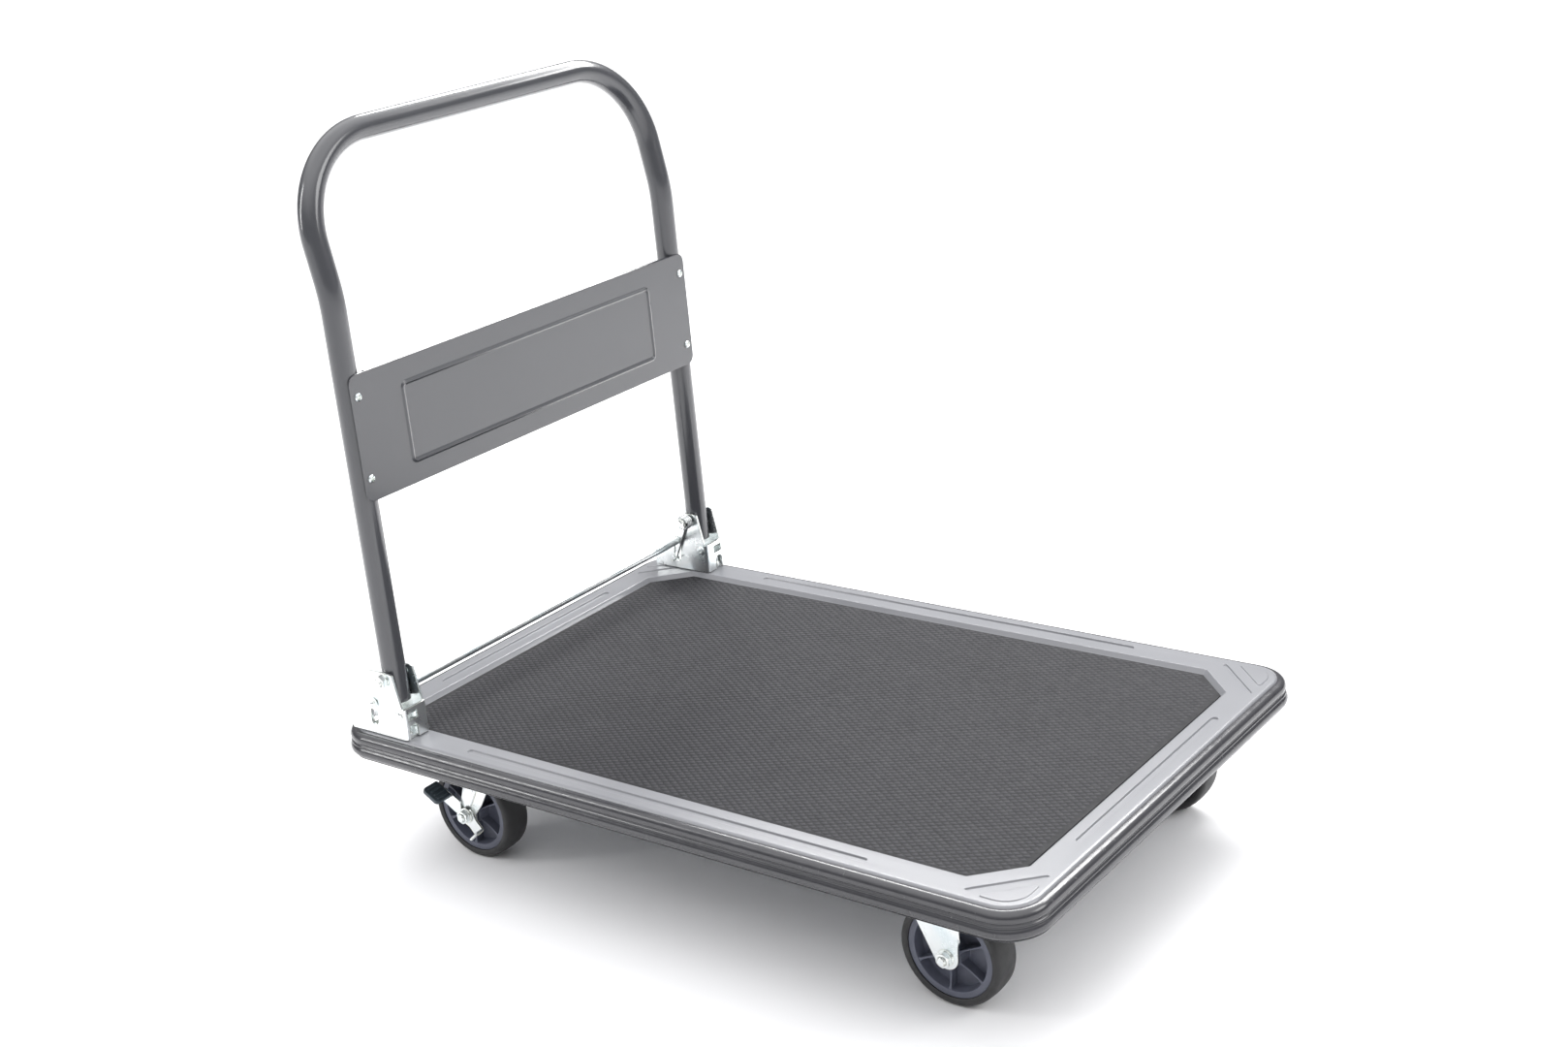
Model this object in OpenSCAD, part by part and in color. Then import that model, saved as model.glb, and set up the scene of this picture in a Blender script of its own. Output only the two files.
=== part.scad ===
/* [Deck] */
// Length of the steel tray along the cart, without the bumper
deck_l = 898; // [880:2:920]
// Width of the steel tray, without the bumper
deck_w = 586; // [560:2:600]
// Corner radius of the tray
corner_r = 37; // [30:1:45]
// Height of the tray's raised border above the floor
deck_top = 163.5; // [160:0.5:168]
// Depth of the tray's side skirt
skirt_h = 32; // [26:1:34]
// Sheet thickness of the tray
sheet = 2; // [1.5:0.5:2]
// How far the tray's middle field lies below its border
field_drop = 6.5; // [5:0.5:8]

/* [Mat] */
// Length of the deck mat
mat_l = 813; // [780:1:820]
// Width of the deck mat
mat_w = 502; // [480:1:505]
// Length cut from each mat corner
mat_cut = 41; // [20:1:50]
// Thickness of the mat
mat_t = 2; // [1.5:0.5:4]

/* [Handle] */
// Outside diameter of the handle tube
tube_d = 28; // [25:1:29]
// Wall thickness of the handle tube
tube_wall = 1.6; // [1.2:0.1:2.5]
// Height of the top bar's centre above the floor
bar_z = 830; // [760:5:880]
// Height at which the legs start to lean back
lean_z = 670; // [640:5:700]
// Angle at which the upper legs lean back
lean = 10.8; // [5:0.2:14]
// Centre-line radius of the two top corners
top_r = 105; // [80:5:120]
// Centre-line radius of the soft bend where the legs start to lean
lean_r = 200; // [120:10:260]
// Height of the panel between the legs
panel_h = 143; // [100:1:160]
// Height of the panel's lower edge above the floor
panel_z = 445; // [400:5:480]

/* [Casters] */
// Wheel diameter
wheel_d = 116; // [110:1:118]
// Width of the tyre
tyre_w = 36; // [28:1:36]
// Distance from the cart's middle line to each wheel
track = 223; // [210:1:226]
// Distance from the deck's middle to the front axle
front_x = 331; // [315:1:340]
// Distance from the deck's middle to the rear swivel axis
rear_x = 283; // [270:1:295]
// How far a rear wheel trails behind its swivel axis
trail = 33; // [26:1:38]
// Clearance on the radius where a wheel or lever turns on its shaft
run = 0.06; // [0.02:0.01:0.1]

/* [Release bar] */
// Diameter of the foot release bar
rod_d = 10; // [8:0.5:11]
// How far the bar is pressed down to free the handle
rod_travel = 20; // [16:1:22]

/* [Hidden] */
$fn = 64;

silver = [0.82, 0.83, 0.85];
rubber = [0.22, 0.22, 0.24];
zinc = [0.86, 0.88, 0.88];
paint = [0.50, 0.51, 0.53];
hub_grey = [0.42, 0.44, 0.48];
eps = 0.01;

wheel_r = wheel_d/2;
skirt_z = deck_top - skirt_h;
field_z = deck_top - field_drop;
field_under = field_z - sheet;
mat_fit = 0.3;

// Bumper section
lobe_r = 7.5;
lobe_up = [1.5, deck_top - 10];
lobe_low = [3.5, deck_top - 24];
lip_h = 31;
lip_w = 4;

// Folding hinge
pivot_x = -deck_l/2 + 80;
pivot_z = deck_top + 71.5;
leg_y = deck_w/2 - 19;
bolt_r = 5;
bolt_hole = bolt_r + run;
cheek_t = 3;
cheek_in = tube_d/2 + 0.5;
cheek_out = cheek_in + cheek_t;
base_t = 3;
tube_end = 29.4;
head_r = 8.5;
pin_head_r = 7;
head_h = 5.5;
nut_h = 7;

// Bracket outline, measured from the pivot
br_rear = -64;
br_front = 25;
br_low = -pivot_z + deck_top + 0.5;
br_elbow = -32.5;
br_top = 9;
br_nose = 14;
br_arc = [-17, -37];
br_arc_r = br_top - br_arc[1];
strap_h = 5;
window_h = 10;
window_w = 20;
rivet_at = [16, -40.5];
rivet_r = 3.5;
rivet_head = 6;

// Release bar, measured from the pivot
rod_at = [-22, -31];
rod_r = rod_d/2;
slot_tilt = 8.9;
slot_dir = [-sin(slot_tilt), -cos(slot_tilt)];
slot_r = rod_r + 0.6;
rod_end_y = leg_y + cheek_out + 3;
cap_r = 7;
cap_t = 2;

// Torsion spring
wire_r = 1.5;
coil_r = 8;
coil_pitch = 2.8;
coil_turns = 4;
coil_gap = 0.6;
leg_gap = 0.6;
leg_len = 62;
hook_l = 11.5;
hook_y = 4.25;
spring_y = leg_y - cheek_out - coil_gap - wire_r;
pin_len = coil_gap + coil_turns*coil_pitch + 2*wire_r + 1.2;

// Handle
leg_top = lean_z - lean_r*tan(lean/2);
up_len = (bar_z - lean_z)/cos(lean);
bar_x = pivot_x - up_len*sin(lean);
bend_len = lean_r*tan(lean/2);
corner_h = up_len - top_r - bend_len;
bend_swell = 0.25; // how much fuller the tube is round its bends
seam_lap = 1;      // how far a straight run enters a bend
panel_t = 1.6;
panel_w = 2*(leg_y + tube_d/2) - 8;
hem_r = 4.5;
screw_r = 2;
screw_hole = 2.2;
screw_z = [panel_z + 26, panel_z + panel_h - 25];

// Casters
plate_z = field_under - 10;
rail_t = 2;
rail_h = 10;
rail_w = 92;
rail_l = 800;
plate_t = 3;
plate_l = 104;
plate_w = 82;
bolt_dx = 80;
bolt_dy = 60;
m8_r = 4;
fork_in = tyre_w/2 + 2.5;
fork_t = 2.5;
fork_out = fork_in + fork_t;
axle_r = 5;
bush_r = 8;
axle_z = wheel_r;
hub_r = wheel_r - 9.5;
rim_r = hub_r - 7;
boss_r = 14;
crown_z = plate_z - plate_t - 11.5;
crown_t = 3;
race_r = 27;
king_r = 7;
king_h = 8;
front_plate_dx = -13;
rear_axle_x = -rear_x - trail;
brake_t = 2.5;
brake_y = fork_out + 0.4;

// Point where a line from p touches a circle of radius r about c
function touch(p, c, r, s) =
  let (d = norm(p - c), a = atan2(p[1] - c[1], p[0] - c[0]) + s*acos(r/d))
  [c[0] + r*cos(a), c[1] + r*sin(a)];

// Rounded rectangle about the origin
module rrect(l, w, r) {
  square([l - 2*r, w], center = true);
  square([l, w - 2*r], center = true);
  for (x = [-1, 1], y = [-1, 1]) translate([x*(l/2 - r), y*(w/2 - r)]) circle(r);
}

// Outline of the mat, grown by g on every side
module mat_shape(g) {
  a = mat_l/2 + g;
  b = mat_w/2 + g;
  c = mat_cut + g*0.59;
  polygon([[a, b - c], [a - c, b], [c - a, b], [-a, b - c], [-a, c - b], [c - a, -b], [a - c, -b], [a, c - b]]);
}

// Rod from p to q, both lying in a plane of constant y
module rod_xz(p, q, y, r) {
  d = q - p;
  translate([p[0], y, p[1]]) rotate([0, atan2(d[0], d[1]), 0]) cylinder(h = norm(d), r = r);
}

// Flat plate drawn in x and z, from y1 to y2
module plate_xz(y1, y2) {
  translate([0, y2, 0]) rotate([90, 0, 0]) linear_extrude(y2 - y1) children();
}

// Round bar along y
module bar_y(x, z, y1, y2, r) {
  translate([x, y1, z]) rotate([-90, 0, 0]) cylinder(h = y2 - y1, r = r);
}

// Hexagonal bar along y
module hex_y(x, z, y1, y2, r) {
  translate([x, y1, z]) rotate([-90, 0, 0]) cylinder(h = y2 - y1, r = r, $fn = 6);
}

// Copy the children to the other side of the cart
module both_sides() {
  children();
  mirror([0, 1, 0]) children();
}

module bead(x1, y1, x2, y2, w) {
  d = [x2 - x1, y2 - y1];
  translate([x1, y1, deck_top - 1]) {
    cylinder(h = 2, r = w/2);
    translate([d[0], d[1], 0]) cylinder(h = 2, r = w/2);
    rotate([0, 0, atan2(d[1], d[0])]) translate([0, -w/2, 0]) cube([norm(d), w, 2]);
  }
}

module deck_tray() color(silver) difference() {
  translate([0, 0, skirt_z]) linear_extrude(skirt_h) rrect(deck_l, deck_w, corner_r);
  translate([0, 0, field_z]) linear_extrude(field_drop + 1) mat_shape(mat_fit);
  translate([0, 0, skirt_z - 1]) linear_extrude(skirt_h + 1 - sheet) difference() {
    rrect(deck_l - 2*sheet, deck_w - 2*sheet, corner_r - sheet);
    mat_shape(mat_fit + sheet);
  }
  translate([0, 0, skirt_z - 1]) linear_extrude(field_under - skirt_z + 1)
    mat_shape(mat_fit + sheet + 1);
  for (s = [-1, 1]) {
    bead(-263, s*(deck_w/2 - 18), 263, s*(deck_w/2 - 18), 8);
    bead(s*(deck_l/2 - 20), -147, s*(deck_l/2 - 20), 147, 8);
    bead(deck_l/2 - 68, s*(deck_w/2 - 17), deck_l/2 - 14, s*(deck_w/2 - 71), 4);
  }
}

module deck_mat() color(rubber)
  translate([0, 0, field_z]) linear_extrude(mat_t) mat_shape(0);

// Bumper section, drawn outward from the tray's skirt
module bumper_section() intersection() {
  union() {
    translate([0, deck_top - lip_h]) square([lip_w, lip_h - 2.5]);
    translate(lobe_up) circle(lobe_r);
    translate(lobe_low) circle(lobe_r);
  }
  translate([0, deck_top - 50]) square([40, 60]);
}

module bumper_run(len) rotate([90, 0, 90]) linear_extrude(len, center = true) bumper_section();

module bumper() color(rubber) {
  for (s = [0, 180]) rotate([0, 0, s]) {
    translate([0, deck_w/2, 0]) bumper_run(deck_l - 2*corner_r);
    rotate([0, 0, -90]) translate([0, deck_l/2, 0]) bumper_run(deck_w - 2*corner_r);
  }
  for (c = [[1, 1, 0], [-1, 1, 90], [-1, -1, 180], [1, -1, 270]])
    translate([c[0]*(deck_l/2 - corner_r), c[1]*(deck_w/2 - corner_r), 0]) rotate([0, 0, c[2]])
      rotate_extrude(angle = 90) translate([corner_r, 0]) bumper_section();
}

// Holes for one caster plate centred at x
module plate_holes(x, r) {
  for (i = [-1, 1], j = [-1, 1])
    translate([x + i*bolt_dx/2, j*bolt_dy/2, plate_z - 30]) cylinder(h = 60, r = r);
}

// Channel under the deck that two casters bolt to
module rail() difference() {
  translate([-rail_l/2, -rail_w/2, plate_z]) cube([rail_l, rail_w, rail_h]);
  translate([-rail_l/2 - 1, -rail_w/2 + rail_t, plate_z + rail_t])
    cube([rail_l + 2, rail_w - 2*rail_t, rail_h]);
  plate_holes(front_x + front_plate_dx, m8_r + 0.3);
  plate_holes(-rear_x, m8_r + 0.3);
}
module rail_left() color(silver) translate([0, track, 0]) rail();
module rail_right() color(silver) translate([0, -track, 0]) rail();

// Side outline of a hinge cheek, measured from the pivot
module cheek_shape() polygon(concat(
  [[br_rear, br_low], [br_front, br_low], [br_front, br_elbow], [br_nose, br_top]],
  [for (a = [90:6:174]) br_arc + br_arc_r*[cos(a), sin(a)]]
));

module rod_slot() {
  translate(rod_at) circle(slot_r);
  translate(rod_at + slot_dir*(rod_travel + 4)) circle(slot_r);
  translate(rod_at) rotate(atan2(slot_dir[1], slot_dir[0])) translate([0, -slot_r])
    square([rod_travel + 4, 2*slot_r]);
}

module bracket() translate([pivot_x, leg_y, pivot_z]) difference() {
  union() {
    for (y = [-cheek_out, cheek_in]) plate_xz(y, y + cheek_t) cheek_shape();
    translate([br_rear, -cheek_out, br_low]) cube([br_front - br_rear, 2*cheek_out, base_t]);
    translate([br_front - cheek_t, -cheek_out, br_low])
      cube([cheek_t, 2*cheek_out, br_elbow - br_low]);
  }
  plate_xz(-cheek_out - 1, cheek_out + 1) {
    rod_slot();
    circle(bolt_hole);
    translate(rivet_at) circle(rivet_r + 0.1);
  }
  translate([br_front - cheek_t - 1, cheek_in - window_w, br_elbow - strap_h - window_h])
    cube([cheek_t + 2, window_w, window_h]);
  translate([br_front - cheek_t - 1, 4, br_low + 13]) rotate([0, 90, 0]) cylinder(h = cheek_t + 2, r = 4.5);
  for (x = [-22, 12]) translate([br_rear + 40 + x, 0, br_low - 1]) cylinder(h = 6, r = 4.3);
}
module bracket_left() color(zinc) bracket();
module bracket_right() color(zinc) mirror([0, 1, 0]) bracket();

// Hold-down bolts through each bracket's base into the deck
module bracket_bolts() color(zinc) both_sides()
  for (x = [-22, 12]) translate([pivot_x + br_rear + 40 + x, leg_y, pivot_z + br_low + base_t]) {
    cylinder(h = 4.5, r = 7, $fn = 6);
    translate([0, 0, -base_t]) cylinder(h = base_t + 1, r = m8_r);
  }

// Rivet across each bracket, in front of the foot of the tube
module stop_rivets() color(zinc) both_sides() {
  x = pivot_x + rivet_at[0];
  z = pivot_z + rivet_at[1];
  bar_y(x, z, leg_y - cheek_out - 0.5, leg_y + cheek_out + 0.5, rivet_r);
  bar_y(x, z, leg_y + cheek_out, leg_y + cheek_out + 2.2, rivet_head);
  bar_y(x, z, leg_y - cheek_out - 2.2, leg_y - cheek_out, rivet_head);
}

// Pivot bolt of one leg, its head's underside at y_in
module pivot_bolt(y_in) {
  bar_y(pivot_x, pivot_z, y_in, leg_y + cheek_out + nut_h + 2, bolt_r);
  bar_y(pivot_x, pivot_z, y_in - head_h, y_in + eps, pin_head_r);
}
// The left bolt is longer and carries the torsion spring
module pivot_bolts() color(zinc) {
  pivot_bolt(leg_y - cheek_out - pin_len);
  mirror([0, 1, 0]) pivot_bolt(leg_y - cheek_out);
}
module pivot_nuts() color(zinc) both_sides() difference() {
  hex_y(pivot_x, pivot_z, leg_y + cheek_out, leg_y + cheek_out + nut_h, head_r);
  bar_y(pivot_x, pivot_z, leg_y, leg_y + 60, bolt_r + 0.1);
}

// Half of the handle frame as a solid of radius r; mid is how far its top bar passes the middle
module half_frame(r, low, mid) {
  translate([pivot_x, leg_y, low]) cylinder(h = leg_top - low + seam_lap, r = r);
  translate([pivot_x - lean_r, leg_y, leg_top]) rotate([0, -lean, 0]) translate([lean_r, 0, 0]) {
    translate([-lean_r, 0, 0]) rotate([90, 0, 0]) rotate([0, 0, -lean])
      rotate_extrude(angle = lean) translate([lean_r, 0]) circle(r + bend_swell);
    translate([0, 0, -seam_lap]) cylinder(h = corner_h + 2*seam_lap, r = r);
    translate([0, -top_r, corner_h]) rotate([90, 0, 90])
      rotate_extrude(angle = 90) translate([top_r, 0]) circle(r + bend_swell);
    translate([0, -top_r + seam_lap, corner_h + top_r]) rotate([90, 0, 0]) rotate(90)
      cylinder(h = leg_y - top_r + mid + seam_lap, r = r);
  }
}
module frame_solid(r, low) {
  half_frame(r, low, 10);
  mirror([0, 1, 0]) half_frame(r, low, 0);
}

module handle_tube() color(paint) difference() {
  frame_solid(tube_d/2, pivot_z - tube_end);
  frame_solid(tube_d/2 - tube_wall, pivot_z - tube_end - 1);
  both_sides() bar_y(pivot_x, pivot_z, leg_y - tube_d, leg_y + tube_d, bolt_hole);
  for (z = screw_z) both_sides() translate([pivot_x, leg_y, z]) rotate([0, 90, 0])
    cylinder(h = tube_d, r = screw_hole);
}

module handle_panel() color(paint) {
  x = pivot_x + tube_d/2;
  hem_l = 2*(leg_y - tube_d/2) - 6;
  difference() {
    translate([x + panel_t, 0, panel_z + panel_h/2]) rotate([0, -90, 0])
      linear_extrude(panel_t) rrect(panel_h, panel_w, 10);
    for (z = screw_z) both_sides() translate([x - 1, leg_y, z]) rotate([0, 90, 0])
      cylinder(h = 6, r = screw_hole);
  }
  for (z = [panel_z + hem_r, panel_z + panel_h - hem_r]) difference() {
    bar_y(x - hem_r + panel_t, z, -hem_l/2, hem_l/2, hem_r);
    bar_y(x - hem_r + panel_t, z, -hem_l/2 - 1, hem_l/2 + 1, hem_r - panel_t);
  }
}

module panel_screws() color(zinc) for (z = screw_z) both_sides()
  translate([pivot_x + tube_d/2, leg_y, z]) rotate([0, 90, 0]) {
    translate([0, 0, -6]) cylinder(h = 6 + panel_t + 1, r = screw_r);
    translate([0, 0, panel_t]) cylinder(h = 2.4, r = 4.5);
  }

// Foot bar lying behind the feet of both legs
module release_bar() color(zinc)
  bar_y(pivot_x + rod_at[0], pivot_z + rod_at[1], -rod_end_y, rod_end_y, rod_r);

module bar_caps() color(zinc) both_sides() difference() {
  bar_y(pivot_x + rod_at[0], pivot_z + rod_at[1], leg_y + cheek_out + 0.4,
    leg_y + cheek_out + 0.4 + cap_t, cap_r);
  bar_y(pivot_x + rod_at[0], pivot_z + rod_at[1], leg_y, leg_y + 60, rod_r);
}

// Torsion spring: coil round the left pivot bolt and a leg passing under the foot bar
module spring_left() color(zinc) translate([pivot_x, 0, pivot_z]) {
  off = rod_r + wire_r + leg_gap;
  a = atan2(rod_at[1], rod_at[0]) + asin(off/norm(rod_at));
  dir = [cos(a), sin(a)];
  tip = dir*leg_len;
  translate([0, spring_y, 0]) rotate([90, 0, 0]) rotate_extrude()
    for (i = [0:coil_turns]) translate([coil_r, i*coil_pitch]) circle(wire_r);
  rod_xz(dir*coil_r, tip, spring_y, wire_r);
  bar_y(tip[0], tip[1], spring_y - hook_y - hook_l/2, spring_y - hook_y + hook_l/2, wire_r);
}

// Mounting plate of one caster
module top_plate(x) difference() {
  translate([x, 0, plate_z - plate_t]) linear_extrude(plate_t) rrect(plate_l, plate_w, 6);
  plate_holes(x, m8_r + 0.3);
}

// Side outline of the fixed fork
module front_fork_shape() {
  c = [front_x, axle_z + 1];
  r = 14;
  pa = [front_x - 57, plate_z - plate_t];
  pb = [front_x + 19, plate_z - plate_t];
  translate(c) circle(r);
  polygon([pa, touch(pa, c, r, 1), c, touch(pb, c, r, -1), pb]);
}

module front_fork() difference() {
  union() {
    top_plate(front_x + front_plate_dx);
    for (y = [-fork_out, fork_in]) plate_xz(y, y + fork_t) front_fork_shape();
    for (y = [-fork_out - 3, fork_in]) translate([front_x + 16.5, y, axle_z + 22])
      cube([2.5, fork_t + 3, plate_z - plate_t - axle_z - 22]);
  }
  bar_y(front_x, axle_z, -fork_out - 5, fork_out + 5, axle_r + 0.1);
}
module front_fork_left() color(zinc) translate([0, track, 0]) front_fork();
module front_fork_right() color(zinc) translate([0, -track, 0]) mirror([0, 1, 0]) front_fork();

// Axle bolt, its head inward and its thread outward; extra is what stacks under the nut
module axle_bolt(x, extra) {
  bar_y(x, axle_z, -fork_out - 6, fork_out + extra + 9, axle_r);
  hex_y(x, axle_z, -fork_out - 6, -fork_out, 8.5);
}
module axle_nut(x, extra) difference() {
  union() {
    hex_y(x, axle_z, fork_out + extra + 1, fork_out + extra + 7.5, 8.5);
    bar_y(x, axle_z, fork_out + extra, fork_out + extra + 1, 9.5);
  }
  bar_y(x, axle_z, 0, 80, axle_r + 0.1);
}
// Sleeve between the fork legs that the wheel turns on
module bush(x) difference() {
  bar_y(x, axle_z, -fork_in, fork_in, bush_r);
  bar_y(x, axle_z, -fork_in - 1, fork_in + 1, axle_r + 0.1);
}
module front_axle_bolts() color(zinc) both_sides() translate([0, track, 0]) axle_bolt(front_x, 0);
module front_axle_nuts() color(zinc) both_sides() translate([0, track, 0]) axle_nut(front_x, 0);
module front_bushes() color(zinc) both_sides() translate([0, track, 0]) bush(front_x);

// Wheel centre: rim ring, dished web, boss and six ribs on each face
module hub(x) translate([x, 0, axle_z]) rotate([-90, 0, 0]) difference() {
  union() {
    rotate_extrude() {
      translate([rim_r, -15]) square([hub_r - rim_r, 30]);
      translate([bush_r, -2.5]) square([hub_r - bush_r - 2, 5]);
      translate([0, -17.5]) square([boss_r, 35]);
    }
    for (a = [0:60:300]) rotate([0, 0, a]) translate([boss_r - 2, -1.3, -12]) cube([rim_r - boss_r + 4, 2.6, 24]);
  }
  translate([0, 0, -30]) cylinder(h = 60, r = bush_r + run);
}
// Solid tyre with rounded shoulders
module tyre(x) translate([x, 0, axle_z]) rotate([-90, 0, 0]) rotate_extrude() {
  s = 4.5;
  w = tyre_w/2;
  translate([hub_r, -w + s]) square([wheel_r - hub_r, 2*w - 2*s]);
  translate([hub_r, -w]) square([wheel_r - hub_r - s, 2*w]);
  for (y = [s - w, w - s]) translate([wheel_r - s, y]) circle(s);
}
module front_hub_left() color(hub_grey) translate([0, track, 0]) hub(front_x);
module front_hub_right() color(hub_grey) translate([0, -track, 0]) hub(front_x);
module front_tyre_left() color(rubber) translate([0, track, 0]) tyre(front_x);
module front_tyre_right() color(rubber) translate([0, -track, 0]) tyre(front_x);

// Fixed upper half of a swivel: plate and bearing race
module swivel_plate() difference() {
  union() {
    top_plate(-rear_x);
    translate([-rear_x, 0, crown_z + 0.4]) cylinder(h = plate_z - crown_z - 0.4, r = race_r);
  }
  translate([-rear_x, 0, crown_z - 1]) cylinder(h = 30, r = king_r + 0.1);
}
module swivel_plate_left() color(zinc) translate([0, track, 0]) swivel_plate();
module swivel_plate_right() color(zinc) translate([0, -track, 0]) swivel_plate();

// Kingpin of each swivel, headed below the crown
module kingpins() color(zinc) both_sides() translate([-rear_x, track, 0]) {
  translate([0, 0, crown_z - crown_t - 0.4]) cylinder(h = plate_z - crown_z + crown_t + 0.4, r = king_r);
  translate([0, 0, crown_z - crown_t - 0.4 - 5]) cylinder(h = 5 + eps, r = 11);
}

// Side outline of the swivel fork, leaning back to the axle
module rear_fork_shape() {
  c = [rear_axle_x, axle_z];
  r = 13;
  z = crown_z - crown_t;
  pa = [-rear_x - 34, z];
  pb = [-rear_x + 24, z];
  pc = [-rear_x + 16, z - 14];
  translate(c) circle(r);
  polygon([pa, touch(pa, c, r, 1), c, touch(pc, c, r, -1), pc, pb]);
}
module rear_fork() difference() {
  union() {
    translate([-rear_x, 0, crown_z - crown_t]) cylinder(h = crown_t, r = race_r + 5);
    translate([-rear_x - 34, -fork_out, crown_z - crown_t]) cube([58, 2*fork_out, crown_t]);
    for (y = [-fork_out, fork_in]) plate_xz(y, y + fork_t) rear_fork_shape();
  }
  translate([-rear_x, 0, crown_z - crown_t - 1]) cylinder(h = 10, r = king_r + run);
  bar_y(rear_axle_x, axle_z, -fork_out - 5, fork_out + 5, axle_r + 0.1);
}
module rear_fork_left() color(zinc) translate([0, track, 0]) rear_fork();
module rear_fork_right() color(zinc) translate([0, -track, 0]) mirror([0, 1, 0]) rear_fork();

brake_stack = brake_t + 0.8;
module rear_axle_bolt_left() color(zinc) translate([0, track, 0]) axle_bolt(rear_axle_x, brake_stack);
module rear_axle_bolt_right() color(zinc) mirror([0, 1, 0]) rear_axle_bolt_left();
module rear_axle_nut_left() color(zinc) translate([0, track, 0]) axle_nut(rear_axle_x, brake_stack);
module rear_axle_nut_right() color(zinc) mirror([0, 1, 0]) rear_axle_nut_left();
module rear_bush_left() color(zinc) translate([0, track, 0]) bush(rear_axle_x);
module rear_bush_right() color(zinc) translate([0, -track, 0]) bush(rear_axle_x);
module rear_hub_left() color(hub_grey) translate([0, track, 0]) hub(rear_axle_x);
module rear_hub_right() color(hub_grey) translate([0, -track, 0]) hub(rear_axle_x);
module rear_tyre_left() color(rubber) translate([0, track, 0]) tyre(rear_axle_x);
module rear_tyre_right() color(rubber) translate([0, -track, 0]) tyre(rear_axle_x);

// Rocker lever of the wheel brake, turning on the axle outside the fork
module brake() difference() {
  union() {
    plate_xz(brake_y, brake_y + brake_t) {
      translate([rear_axle_x, axle_z]) circle(12);
      translate([rear_axle_x, axle_z]) rotate(150) translate([0, -9]) square([40, 18]);
      translate([rear_axle_x, axle_z]) rotate(-48) translate([0, -8]) square([26, 16]);
    }
    translate([rear_axle_x, brake_y, axle_z]) rotate([0, 48, 0]) translate([24, 0, -10])
      cube([2.5, 14, 20]);
  }
  bar_y(rear_axle_x, axle_z, 0, 60, axle_r + run);
}
module brake_left() color(zinc) translate([0, track, 0]) brake();
module brake_right() color(zinc) mirror([0, 1, 0]) brake_left();

// Foot pad on the raised end of the brake lever
module brake_pedal() difference() {
  translate([rear_axle_x, brake_y, axle_z]) rotate([0, 30, 0]) translate([-54, -2, -3]) cube([26, 24, 12]);
  plate_xz(brake_y, brake_y + brake_t)
    translate([rear_axle_x, axle_z]) rotate(150) translate([0, -9]) square([40, 18]);
}
module brake_pedal_left() color(rubber) translate([0, track, 0]) brake_pedal();
module brake_pedal_right() color(rubber) mirror([0, 1, 0]) brake_pedal_left();

// Bolts and nuts of the four caster plates
module caster_bolt() {
  translate([0, 0, plate_z + rail_t]) cylinder(h = 5.3, r = 7, $fn = 6);
  translate([0, 0, plate_z - plate_t - 8.5]) cylinder(h = plate_t + rail_t + 9, r = m8_r);
}
module caster_nut() difference() {
  translate([0, 0, plate_z - plate_t - 6.5]) cylinder(h = 6.5, r = 7, $fn = 6);
  translate([0, 0, plate_z - plate_t - 10]) cylinder(h = 20, r = m8_r + 0.1);
}
module at_plate_bolts() both_sides() for (x = [front_x + front_plate_dx, -rear_x], i = [-1, 1], j = [-1, 1])
  translate([x + i*bolt_dx/2, track + j*bolt_dy/2, 0]) children();
module caster_bolts() color(zinc) at_plate_bolts() caster_bolt();
module caster_nuts() color(zinc) at_plate_bolts() caster_nut();

deck_tray();
deck_mat();
bumper();
rail_left();
rail_right();
bracket_left();
bracket_right();
bracket_bolts();
stop_rivets();
pivot_bolts();
pivot_nuts();
handle_tube();
handle_panel();
panel_screws();
release_bar();
bar_caps();
spring_left();
front_fork_left();
front_fork_right();
front_axle_bolts();
front_axle_nuts();
front_bushes();
front_hub_left();
front_hub_right();
front_tyre_left();
front_tyre_right();
swivel_plate_left();
swivel_plate_right();
kingpins();
rear_fork_left();
rear_fork_right();
rear_axle_bolt_left();
rear_axle_bolt_right();
rear_axle_nut_left();
rear_axle_nut_right();
rear_bush_left();
rear_bush_right();
rear_hub_left();
rear_hub_right();
rear_tyre_left();
rear_tyre_right();
brake_left();
brake_right();
brake_pedal_left();
brake_pedal_right();
caster_bolts();
caster_nuts();
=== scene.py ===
from math import acos, asin, atan2, cos, pi, radians, sin, sqrt, tan

import bmesh
import bpy
from mathutils import Matrix, Vector
from mathutils.geometry import tessellate_polygon


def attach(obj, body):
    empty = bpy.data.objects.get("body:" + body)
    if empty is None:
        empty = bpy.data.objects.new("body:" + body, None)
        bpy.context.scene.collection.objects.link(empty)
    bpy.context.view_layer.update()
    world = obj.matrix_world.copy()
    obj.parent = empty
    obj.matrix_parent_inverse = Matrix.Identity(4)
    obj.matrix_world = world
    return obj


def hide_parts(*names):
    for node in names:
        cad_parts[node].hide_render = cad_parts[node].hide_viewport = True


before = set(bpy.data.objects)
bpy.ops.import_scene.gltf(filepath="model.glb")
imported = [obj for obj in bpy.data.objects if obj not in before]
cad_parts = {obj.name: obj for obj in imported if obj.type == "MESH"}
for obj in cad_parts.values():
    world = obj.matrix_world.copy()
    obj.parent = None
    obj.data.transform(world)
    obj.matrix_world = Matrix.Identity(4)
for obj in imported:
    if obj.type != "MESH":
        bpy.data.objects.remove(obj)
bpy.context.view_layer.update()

# Lengths are in millimetres in the CAD's frame, and make() turns them into metres.
# The camera, the floor, the lights and the distances inside materials are in metres.
MM = 0.001
WELD = 1e-4
SIDES = (("left", 1), ("right", -1))

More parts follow.
